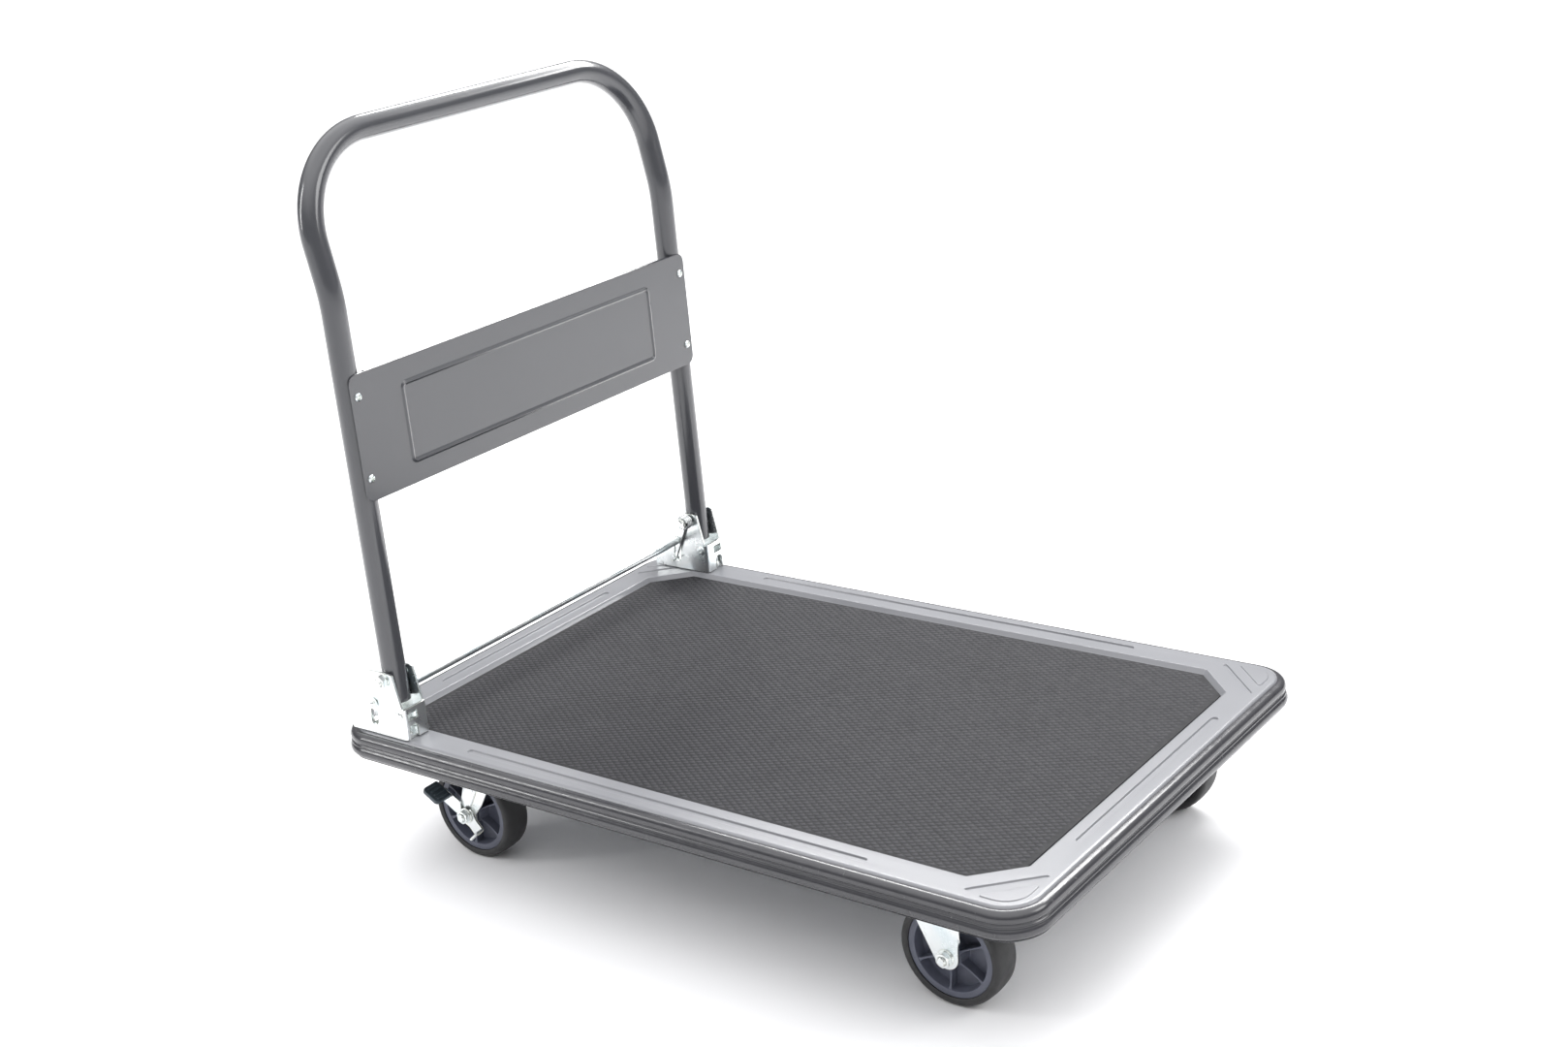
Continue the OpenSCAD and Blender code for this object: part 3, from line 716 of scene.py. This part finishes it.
def handle_path():
    """Centre line of the handle from the left foot over the top to the right foot."""
    lean, lean_r, top_r = radians(10.8), 200.0, 105.0
    foot_z, bar_z, lean_z = PIVOT_Z - 29.4, 830.0, 670.0
    leg_top = lean_z - lean_r * tan(lean / 2)
    up_len = (bar_z - lean_z) / cos(lean)
    corner_h = up_len - top_r - lean_r * tan(lean / 2)
    pts = [(PIVOT_X, LEG_Y, z) for z in (foot_z, foot_z + 1, 300, 400, 500, 600, leg_top)]
    for k in range(1, 9):
        t = lean * k / 8
        pts.append((PIVOT_X - lean_r * (1 - cos(t)), LEG_Y, leg_top + lean_r * sin(t)))
    up, base = Vector((-sin(lean), 0, cos(lean))), Vector(pts[-1])
    for k in range(25):
        t = pi / 2 * k / 24
        q = base + up * (corner_h + top_r * sin(t)) + Vector((0, -top_r * (1 - cos(t)), 0))
        pts.append(tuple(q))
    pts.append((pts[-1][0], 0, pts[-1][2]))
    return pts + [(x, -y, z) for x, y, z in reversed(pts[:-1])]


def make_handle_tube():
    tube = Shape().add(sweep(handle_path(), TUBE_R, 40, inner=TUBE_R - TUBE_WALL))
    make("handle_tube_bent", tube, HANDLE_PAINT, "handle", ("handle_tube",), angle=50)


def make_panel():
    """Sheet panel with an embossed frame and rolled top and bottom hems."""
    x, t = PIVOT_X + TUBE_R, PANEL_T
    low, high, width = 445, 588, 568
    mid = (low + high) / 2
    outer = rounded_box(width, high - low, 11, 8)
    emboss = rounded([(213, -49.5, 9), (213, 46.5, 9), (-213, 46.5, 9), (-213, -49.5, 9)], 8)
    flat = Shape()
    edge = ((0.5, 0.0), (0, t * 0.5), (0.15, t - 0.15), (0.6, t))
    flat.add(loft([level(inset(outer, back), out) for back, out in edge]))
    flat.add(fill([inset(outer, 0.6), emboss], t))
    ridge_h, ridge_w = 1.5, 6.6
    ridge = ((0.0, 0.0), (0.8, 0.08), (1.7, 0.55), (2.6, 0.95), (3.3, 1.0))
    ridge += ((4.0, 0.95), (4.9, 0.55), (5.8, 0.08), (ridge_w, 0.0))
    flat.add(loft([level(inset(emboss, d), t + ridge_h * h) for d, h in ridge]))
    flat.add(fill([inset(emboss, ridge_w)], t))
    flat.add(fill([inset(outer, 0.5)], 0.0))
    panel = Shape()
    panel.v = [(x + out, y, mid + z) for y, z, out in flat.v]
    panel.f = flat.f
    hem_half, hem_r = LEG_Y - TUBE_R - 3, 4.5
    cx = x + t - hem_r
    for z, turn in ((low + hem_r, -1), (high - hem_r, 1)):
        section = []
        for r, order in ((hem_r, 1), (hem_r - t, -1)):
            arc = [radians(-5 + 300 * k / 20) for k in range(21)][::order]
            section += [(cx + r * cos(a), z + turn * r * sin(a)) for a in arc]
        rings = [[(px, y, pz) for px, pz in section] for y in (-hem_half, hem_half)]
        panel.add(loft(rings, caps=True))
    make("handle_panel_sheet", panel, HANDLE_PAINT, "handle", ("handle_panel",), angle=38)


def cross_head(radius, height):
    """Domed screw head with a cross recess."""
    n, levels = 64, 14
    arm_half, arm_reach, recess = 0.55, 0.62, 1.0
    rings = []
    for i in range(1, levels + 1):
        r = radius * i / levels
        dome = height * sqrt(max(0.0, 1 - (r / radius) ** 2.6 * 0.92))
        ring = []
        for px, py, _ in ring_at(r, 0, n):
            in_arm = min(abs(px), abs(py)) < arm_half and max(abs(px), abs(py)) < radius * arm_reach
            z = dome - recess if in_arm else dome
            ring.append((px, py, z if i < levels else height * 0.28))
        rings.append(ring)
    return loft([*rings, ring_at(radius, -0.2, n)], caps=True)


def make_panel_screws():
    shape = Shape()
    for z in (471, 563):
        for y in (-LEG_Y, LEG_Y):
            place = along_x(PIVOT_X + TUBE_R + PANEL_T, y, z)
            shape.add(cross_head(4.6, 2.6), place)
            shape.add(rod(2, -6, 0.1, 20), place)
    make_zinc("panel_screws", "cross", shape, "handle", angle=40)


make_handle_tube()
make_panel()
make_panel_screws()


# ---- fold hinge


def cheek_outline():
    """Half of the flat bracket from its rear end to the middle of its front web (u, v)."""
    angles = [radians(a) for a in range(173, 88, -5)]
    arc = [(-17 + 46 * cos(a), -37 + 46 * sin(a)) for a in angles]
    points = [(-CHEEK_BACK, -70.2), (-63.2, -37.5), *arc, (9.5, 9.0), (13.5, 7.8)]
    return [(x + CHEEK_BACK, v) for x, v in points]


def slot_points(x, z, s):
    """Outline of the long slot for the foot bar; s mirrors it along u."""
    lean, travel = radians(SLOT_LEAN), 24
    dx, dz = -sin(lean) * s, -cos(lean)
    return stadium(x, z, x + dx * travel, z + dz * travel, 5.6)


def make_brackets():
    """Folded brackets: two cheeks and a front web, with a base plate and a round head outside."""
    fold_r, straight, web_top, web_low = 2.8, 84.7, -32.5, -70.2
    arc = fold_r * pi / 2
    web = 32 - 2 * fold_r
    total = 2 * straight + 2 * arc + web
    left = cheek_outline()
    right = [(total - u, v) for u, v in reversed(left)]
    u0, u1 = straight + arc, total - straight - arc
    outline = [*left, (straight + 1.2, web_top - 0.4), (u0, web_top)]
    outline += [(u1, web_top), (total - straight - 1.2, web_top - 0.4), *right]
    notch = ((13.5, 0), (13.5, 13), (10, 17), (3, 17), (0.5, 13), (0.5, 0))
    outline += [(u1 - 2, web_low), *((u0 + u, web_low + v) for u, v in notch)]
    holes = []
    for u, s in ((CHEEK_BACK, 1), (total - CHEEK_BACK, -1)):
        holes.append(circle(u, 0, PIVOT_R + 0.3, 28))
        holes.append(slot_points(u + s * BAR_DX, BAR_DZ, s))
        holes.append(circle(u + s * RIVET_DX, RIVET_DZ, RIVET_R + 0.1, 20))
    window = [(u0 + 0.8, -47.5, 1), (u0 + 15.5, -47.5, 2), (u0 + 15.5, -38.0, 1), (u0 + 0.8, -38.0, 1)]
    holes.append(rounded(window, 3))
    flat = plate(outline, CHEEK_T, 0.45, holes=holes)
    folded = bend(flat, ((straight, fold_r, -90), (straight + arc + web, fold_r, -90)))
    base = plate(rectangle(-60, 21, 14, 2, 4), 2.6, low=DECK_TOP - PIVOT_Z + 0.1)
    head = lathe([(0, 0.5), (1.6, 0.45), (2.6, 0.1), (2.8, -0.2), (0, -0.2)], 20)
    cheek_mid = LEG_Y + CHEEK_OUT - CHEEK_T / 2
    for name, s in SIDES:
        shape = Shape().add(folded, shift(PIVOT_X - CHEEK_BACK, cheek_mid, PIVOT_Z))
        shape.add(base, shift(PIVOT_X, LEG_Y, PIVOT_Z))
        shape.add(head, along_y(PIVOT_X - 11, PIVOT_Z - 49, LEG_Y + CHEEK_OUT))
        make_zinc(f"bracket_{name}", "folded", shape, side=s)


def make_hinge_bolts():
    """Pivot bolts and nuts, stop rivets, and the bolts and studs of the base plates, on both sides."""
    pivots, nuts, rivets, holds = Shape(), Shape(), Shape(), Shape()
    cheek, base_top = LEG_Y + CHEEK_OUT, DECK_TOP + 2.7
    rivet_head = ((6.2, 0.02), (6.2, 0.5), (5.6, 1.3), (3.9, 2.2), (2.2, 2.3), (1.7, 1.9), (0, 1.8))
    for s, y_in in ((1, 240.5), (-1, 256.4)):
        here = mirrored(s)
        place = here @ along_y(PIVOT_X, PIVOT_Z, 0)
        pivots.add(rod(PIVOT_R, y_in, cheek + 6, 32), place)
        pivots.add(thread(PIVOT_R, cheek + 6, cheek + 10.5), place)
        pivots.add(hexagon(12, y_in - 5.4, y_in - 0.9), place)
        pivots.add(lathe([(0, y_in - 5.8), (3.6, y_in - 5.7), (4.6, y_in - 5.3), (0, y_in - 5.1)], 32), place)
        pivots.add(washer(PIVOT_R, 7.4, y_in - 0.9, y_in - 0.05), place)
        nuts.add(hexagon(14.8, cheek + 1.3, cheek + 7.6, PIVOT_R), place)
        nuts.add(washer(PIVOT_R + 0.1, 9.2, cheek + 0.05, cheek + 1.25), place)
        at = here @ along_y(PIVOT_X + RIVET_DX, PIVOT_Z + RIVET_DZ, 0)
        rivets.add(rod(RIVET_R, LEG_Y - 18, LEG_Y + 18, 24), at)
        for d in (1, -1):
            face = LEG_Y + d * CHEEK_OUT
            rivets.add(lathe([(0, face)] + [(r, face + d * h) for r, h in rivet_head], 10), at)
        for dx in (-22, 12):
            spot = here @ shift(PIVOT_X - 24 + dx, LEG_Y, base_top)
            holds.add(hexagon(11.5, 0.8, 5.2), spot)
            holds.add(washer(3.8, 7.6, 0.05, 0.8), spot)
            holds.add(rod(3.8, -3, 1, 20), spot)
        stud = here @ shift(PIVOT_X + 16.5, LEG_Y + 9.5, base_top)
        holds.add(lathe([(0, 0), (3.6, 0), (3.6, 11.5), (3.1, 12.2), (0, 12.3)], 24), stud)
        holds.add(hexagon(10.5, 0.2, 4.6), stud)
    make_zinc("pivot_bolts", "hex", pivots)
    make_zinc("pivot_nuts", "hex", nuts)
    make_zinc("stop_rivets", "set", rivets, angle=25)
    make_zinc("bracket_bolts", "hex", holds)


def make_release_bar():
    x, z, end = PIVOT_X + BAR_DX, PIVOT_Z + BAR_DZ, 294.5
    profile = [(0, -end), (4.0, -end), (4.7, -end + 0.3), (BAR_R, -end + 1)]
    profile += [(r, -h) for r, h in reversed(profile)]
    bar = Shape().add(lathe(profile, 40), along_y(x, z, 0))
    make_zinc("release_bar", "rod", bar, "release")
    caps = Shape()
    for s in (1, -1):
        place = mirrored(s) @ along_y(x, z, 0)
        caps.add(hexagon(11.6, 292.0, 296.2, chamfer=0.8), place)
        caps.add(lathe([(0, 298.2), (2.2, 298.0), (3.6, 297.2), (4.4, 295.9), (0, 295.8)], 28), place)
    make_zinc("bar_caps", "hex", caps, "release")


def make_spring():
    """Torsion spring: closed coil round the left pivot bolt, a leg under the foot bar and a hooked end."""
    wire_r, coil_r, pitch, turn_count, steps = 1.5, 8, 3.15, 3.55, 90
    y_far, y_tip, reach, hook_r = 254.4, 244.6, 59, 3
    bar = Vector((BAR_DX, BAR_DZ))
    off = BAR_R + wire_r + 0.6
    a = atan2(bar.y, bar.x) + asin(off / bar.length)
    out = Vector((cos(a), sin(a)))
    pts = []
    for i in range(steps + 1):
        t = a + 2 * pi * turn_count * (i / steps - 1) - 0.55
        y = y_far - turn_count * pitch * (1 - i / steps)
        pts.append((PIVOT_X + coil_r * cos(t), y, PIVOT_Z + coil_r * sin(t)))
    for d, side in ((10.5, -1.2), (13.5, -0.4), (18, 0), (30, 0), (45, 0), (58.5, 0)):
        pts.append((PIVOT_X + out.x * d - out.y * side, y_far, PIVOT_Z + out.y * d + out.x * side))
    for k in range(1, 6):
        t = pi / 2 * k / 5
        d = reach + hook_r * sin(t)
        pts.append((PIVOT_X + out.x * d, y_far - hook_r * (1 - cos(t)), PIVOT_Z + out.y * d))
    pts.append((PIVOT_X + out.x * (reach + hook_r), y_tip, PIVOT_Z + out.y * (reach + hook_r)))
    coil = Shape().add(sweep(pts, wire_r, 14))
    # The spring takes the darker zinc copy: painted shade.
    make("spring_left_coil", coil, ZINC_SHADED, "spring_l", ("spring_left",), angle=50)


make_brackets()
make_hinge_bolts()
make_release_bar()
make_spring()


# ---- wheels


def make_wheel(name, x, side, prefix):
    """Solid tyre on a moulded centre with a dished web, boss and six ribs."""
    place, body = along_y(x, AXLE_Z, TRACK), f"{prefix}_wheel_{name}"
    tyre = [(48.6, -16.4), (50, -17.4), (52.2, -18), (54.0, -17.6), (55.8, -16.2)]
    tyre += [(57.0, -13.6), (57.6, -9), (57.9, -4)]
    tyre += [(58, 0)] + [(r, -h) for r, h in reversed(tyre)]
    shape = Shape().add(lathe(tyre, 112, True), place)
    make(f"{prefix}_tyre_{name}_rubber", shape, TYRE, body, (f"{prefix}_tyre_{name}",), side, 40)
    rim = [(48.6, -14.6), (48.2, -15.1), (47.4, -15.3), (42.6, -15.3), (41.8, -15.0), (41.3, -14.2)]
    rim += [(40.4, -4.2), (39.4, -2.6), (38.4, -2.4), (17.5, -2.4), (15.6, -3.2), (14.4, -5.2)]
    rim += [(13.4, -16.9), (12.8, -17.5), (8.3, -17.5)]
    rim += [(r, -h) for r, h in reversed(rim)]
    hub = Shape().add(lathe(rim, 96, True), place)
    # Stations of a rib from the boss to the rim: radius, height and half width.
    stations = ((13.2, 15.6, 2.0), (14.6, 15.2, 1.35), (17, 14.4, 1.1), (24, 13.4, 1.0))
    stations += ((34, 13.2, 1.0), (38.5, 13.6, 1.15), (40.6, 14.2, 1.9), (41.6, 14.4, 2.3))
    web = 2.2
    for k in range(6):
        turn = Matrix.Rotation(radians(60 * k + 35), 4, "Z")
        for face in (-1, 1):
            rings = []
            for r, high, half in stations:
                edge = [(half + 0.25, web), (half, high - 0.5), (half - 0.45, high)]
                ring = [(r, -y, z * face) for y, z in edge]
                rings.append(ring + [(r, y, z * face) for y, z in reversed(edge)])
            hub.add(loft(rings, caps=True), place @ turn)
    make(f"{prefix}_hub_{name}_ribbed", hub, HUB, body, (f"{prefix}_hub_{name}",), side, 35)


def add_axle(bolts, nuts, x, extra, s=1):
    """Bolt with its head inward, and a washer and nut with thread showing outward."""
    place = mirrored(s) @ along_y(x, AXLE_Z, TRACK)
    end = FORK_OUT + extra
    bolts.add(rod(AXLE_R, -FORK_OUT - 1, end + 6, 32), place)
    bolts.add(thread(AXLE_R, end + 6, end + 10), place)
    bolts.add(hexagon(14.6, -FORK_OUT - 6, -FORK_OUT - 0.1), place)
    nuts.add(washer(AXLE_R + 0.1, 9.4, end + 0.05, end + 1.2), place)
    nuts.add(hexagon(14.6, end + 1.25, end + 7.4, AXLE_R), place)


def touch(p, c, r, s):
    """Where the tangent from p meets the circle round c, and the angle of that point."""
    d = (Vector(p) - Vector(c)).length
    a = atan2(p[1] - c[1], p[0] - c[0]) + s * acos(r / d)
    return (c[0] + r * cos(a), c[1] + r * sin(a), a)


def leg_outline(pa, pb, c, r, steps=12):
    """Outline from pa down a tangent, round the axle end and up a tangent to pb."""
    ta, tb = touch(pa, c, r, 1), touch(pb, c, r, -1)
    a0, a1 = ta[2], tb[2]
    while a1 < a0:
        a1 += 2 * pi
    return [pa, *arc_points(c, r, a0, a1, steps), pb]


def top_plate(x):
    corners = rectangle(x - 52, x + 52, 41, 6, 5)
    return plate([(p[0], p[1] + TRACK) for p in corners], PLATE_T, low=PLATE_Z - PLATE_T)


def make_front_casters():
    """Fixed forks: a top plate and two legs with folded front flanges."""
    bolts, nuts = Shape(), Shape()
    for _, s in SIDES:
        add_axle(bolts, nuts, FRONT_X, 0, s)
    make_zinc("front_axle_bolts", "hex", bolts)
    make_zinc("front_axle_nuts", "hex", nuts)
    top, corner, flange = PLATE_Z - PLATE_T + 0.5, 15.5, 3.6
    base = leg_outline((-57, top - AXLE_Z), (corner, top - AXLE_Z), (0, 1), 14)
    round_end = [p for p in base[1:-1] if p[1] < 12 or p[0] < 0]
    lip = [(corner + 0.5, 20), (corner + flange, 27), (corner + flange, top - AXLE_Z)]
    flat = plate([base[0], *round_end, (14.4, 14), *lip], FORK_T, 0.45)
    fillet = ((0, 0), (-2.6, 0), (-0.6, 0.6), (0, 2.6))
    for name, s in SIDES:
        shape = Shape().add(top_plate(FRONT_PLATE_X))
        for d in (1, -1):
            y = TRACK + d * FORK_MID
            leg = bend(flat, ((14.6, 2.2, 78 * d),), 4)
            shape.add(leg, shift(FRONT_X, y, AXLE_Z))
            rings = []
            for x in (FRONT_X - 52, FRONT_X + 14):
                rings.append([(x, y + d * (1.1 - out), top - down) for out, down in fillet])
            shape.add(loft(rings, caps=True))
        make_zinc(f"front_fork_{name}", "pressed", shape, side=s)
        make_wheel(name, FRONT_X, s, "front")


def make_rear_casters():
    """Swivel forks under their plates and races, with kingpins, axles, wheels and brakes."""
    bore = 7.1
    race = [(bore, 131.0), (22, 131.0), (26.2, 131.4), (27, 132.6), (27, 137.2), (25.6, 139.6)]
    race += [(23.2, 141.2), (22.6, 142.2), (bore, 142.2)]
    crown = [(bore, CROWN_Z), (30.6, CROWN_Z), (31.8, 128.2), (32, 129.2), (31.2, 130.2)]
    crown += [(29.4, 130.4), (bore, 130.4)]
    pin = [(0, 121.6), (6.5, 121.8), (9.8, 122.8), (11, 124.4), (11, 126.6), (7, 127), (7, 145), (0, 145)]
    pins = Shape()
    for name, s in SIDES:
        body = f"swivel_{name}"
        centre = shift(-REAR_X, TRACK, 0)
        upper = Shape().add(top_plate(-REAR_X))
        upper.add(lathe(race, 56, True), centre)
        make_zinc(f"swivel_plate_{name}", "pressed", upper, side=s)
        lower = Shape().add(lathe(crown, 56, True), centre)
        bridge = [(x, y + TRACK) for x, y in rectangle(-REAR_X - 34, -REAR_X + 24, FORK_OUT, 4, 4)]
        lower.add(plate(bridge, 2.8, 0.4, CROWN_Z, [circle(-REAR_X, TRACK, bore + 0.1, 32)]))
        leg = plate(rear_leg_outline(CROWN_Z - 0.1), FORK_T)
        for d in (1, -1):
            lower.add(leg, stand_up(TRACK + d * FORK_MID, d))
            rings = []
            for i, (x, z) in enumerate(((-6, 124), (-10, 108), (-19, 86), (-27, 71))):
                ring = []
                for t in (pi * k / 8 for k in range(9)):
                    across, out = (5.2 - i * 0.9) * cos(t), 1.9 * sin(t)
                    ring.append((x - REAR_X + across, d * (FORK_OUT - 0.3 + out), z))
                rings.append(ring)
            lower.add(loft(rings, caps=True), shift(0, TRACK, 0))
        make_zinc(f"rear_fork_{name}", "pressed", lower, body, s)
        bolt, nut = Shape(), Shape()
        add_axle(bolt, nut, REAR_AXLE_X, 3.3)
        make_zinc(f"rear_axle_bolt_{name}", "hex", bolt, body, s)
        make_zinc(f"rear_axle_nut_{name}", "hex", nut, body, s)
        make_wheel(name, REAR_AXLE_X, s, "rear")
        make_brake(name, s)
        pins.add(lathe(pin, 40), shift(-REAR_X, TRACK * s, 0))
    make_zinc("kingpins", "riveted", pins)


def rear_leg_outline(top):
    """Curved side of the swivel fork from the crown down to the axle."""
    rear = [(dx - REAR_X, z) for dx, z in ((-33, top + 2), (-30, top - 6), (-31.5, 104), (-38, 84))]
    front = [(dx - REAR_X, z) for dx, z in ((-9, 74), (2, 92), (9, 106), (15, top - 8), (23, top + 2))]
    low = arc_points((REAR_AXLE_X, AXLE_Z), 13, radians(160), radians(372), 14)
    return [*rear, *low, *front]


def make_brake(name, side):
    """Pressed rocker lever with a raised foot pad and a folded lower blade."""
    y = FORK_OUT + 0.4
    body = f"wheel_brake_{name}"
    up, down = 150, -48
    # Corners of the rocker from the axle: along, across, direction in degrees, and radius.
    corners = ((41, 8.5, up, 3), (41, -9, up, 3), (14, -10, up, 4), (12, 0, 232, 4), (12, -7.5, down, 4))
    corners += ((26, -8, down, 3), (26, 8, down, 3), (12, 7.5, down, 4), (12, 0, 45, 5), (13, 9, up, 4))
    arm = []
    for along, across, degrees, r in corners:
        t = radians(degrees)
        x = REAR_AXLE_X + along * cos(t) - across * sin(t)
        z = AXLE_Z + along * sin(t) + across * cos(t)
        arm.append((x, z, r))
    rocker = plate(rounded(arm), 2.5, 0.45, holes=[circle(REAR_AXLE_X, AXLE_Z, AXLE_R + 0.08, 28)])
    lever = Shape().add(rocker, stand_up(TRACK + y + 1.25))
    blade = rounded([(0, -10, 2), (14, -8, 5), (14, 8, 5), (0, 10, 2)])
    curl = bend(plate(blade, 2.4), ((9, 5, 45),), 5)
    lean = radians(down)
    u, w = Vector((cos(lean), 0, sin(lean))), Vector((-sin(lean), 0, cos(lean)))
    turned = Matrix(((0, u.x, w.x), (1, 0, 0), (0, u.z, w.z))).to_4x4()
    root = shift(REAR_AXLE_X + u.x * 25, TRACK + y + 0.8, AXLE_Z + u.z * 25)
    lever.add(curl, root @ turned)
    make_zinc(f"brake_{name}", "lever", lever, body, side)
    pad = Shape()
    outline = rounded([(-54, -1.6, 3), (-54, 22, 5), (-28, 22, 5), (-28, -1.6, 3)])
    seat = shift(REAR_AXLE_X, TRACK + y, AXLE_Z) @ Matrix.Rotation(radians(30), 4, "Y")
    pad.add(plate([(u, v + 2.6) for u, v in outline], 5.5, 1.4, low=3.4), seat)
    top, ridge = 8.7, ((4.2, 0), (5.0, 0.8), (19.5, 0.8), (20.3, 0))
    for k in range(4):
        x = -49.5 + 5.6 * k
        rings = []
        for v, h in ridge:
            rings.append([(x - 1.1, v, top), (x - 0.6, v, top + h), (x + 0.6, v, top + h), (x + 1.1, v, top)])
        pad.add(loft(rings, caps=True), seat)
    make(f"brake_pedal_{name}_pad", pad, PEDAL, body, (f"brake_pedal_{name}",), side)


def make_caster_fixings():
    """Four bolts through each caster's plate and rail, their threads below the nuts."""
    bolts, nuts = Shape(), Shape()
    r, tip, root = 4, 133.5, 138.1
    for s in (1, -1):
        for x in (FRONT_PLATE_X, -REAR_X):
            for i in (-40, 40):
                for j in (-30, 30):
                    place = shift(x + i, s * (TRACK + j), 0)
                    flipped = place @ Matrix.Diagonal((1, 1, -1, 1)) @ shift(0, 0, -tip - root)
                    bolts.add(hexagon(12, 147.05, 152.2), place)
                    bolts.add(rod(r, 138, 148, 24), place)
                    bolts.add(thread(r, tip, root, 1.25, 0.4, 20), flipped)
                    nuts.add(hexagon(12, 135.6, 140.9, r), place)
                    nuts.add(washer(r + 0.1, 7.6, 140.95, 141.95), place)
    make_zinc("caster_bolts", "hex", bolts)
    make_zinc("caster_nuts", "hex", nuts)


make_front_casters()
make_rear_casters()
make_caster_fixings()
# The bushes take the darker zinc copy: painted shade.
for node in ("front_bushes", "rear_bush_left", "rear_bush_right"):
    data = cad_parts[node].data
    data.materials.clear()
    data.materials.append(ZINC_SHADED)


# ---- floor and light


SKY_STRENGTH, SKY_BLUE = 2.1, 1.01
SKY_LEVELS = ((0.0, 0.10), (0.38, 0.16), (0.62, 0.62), (0.85, 1.0))


def make_stage():
    """Plain pale floor."""
    mesh = bpy.data.meshes.new("floor")
    far = 40
    mesh.from_pydata([(-far, -far, 0), (far, -far, 0), (far, far, 0), (-far, far, 0)], [], [(0, 1, 2, 3)])
    floor = new_object("floor", mesh)
    f = Finish("floor", roughness=0.9, specular=0.1)
    tones = [(0.3, (0.90, 0.90, 0.905)), (0.7, (0.92, 0.92, 0.925))]
    f.link(f.ramp(f.noise(1.5, 2), tones), "Base Color")
    mesh.materials.append(f.material)


def make_light(name, position, target, size, power):
    data = bpy.data.lights.new(name, "AREA")
    data.shape = "RECTANGLE"
    data.size, data.size_y = size
    data.energy = power
    light = new_object(name, data)
    light.location = position
    light.rotation_mode = "QUATERNION"
    light.rotation_quaternion = (Vector(target) - Vector(position)).to_track_quat("-Z", "Y")


def make_world():
    """White tent: bright overhead, dimmer near the horizon."""
    world = bpy.data.worlds.new("studio")
    world.use_nodes = True
    tree = world.node_tree
    place = tree.nodes.new("ShaderNodeTexCoord")
    split = tree.nodes.new("ShaderNodeSeparateXYZ")
    ramp = tree.nodes.new("ShaderNodeValToRGB")
    tree.links.new(place.outputs["Generated"], split.inputs["Vector"])
    tree.links.new(split.outputs["Z"], ramp.inputs["Fac"])
    tree.links.new(ramp.outputs["Color"], tree.nodes["Background"].inputs["Color"])
    tree.nodes["Background"].inputs["Strength"].default_value = SKY_STRENGTH
    set_stops(ramp, [(at, (level, level, level * SKY_BLUE)) for at, level in SKY_LEVELS])
    bpy.context.scene.world = world


make_stage()
make_world()
make_light("back", (-0.6, 2.1, 2.3), (-0.2, 0, 0.4), (3.2, 0.5), 95)
make_light("strip_left", (-2.2, -1.9, 1.6), (-0.3, -0.1, 0.5), (0.35, 1.6), 20)
make_light("front", (2.6, 1.0, 2.0), (0.1, 0, 0.1), (1.6, 1.2), 30)
bpy.context.scene.view_settings.view_transform = "Standard"
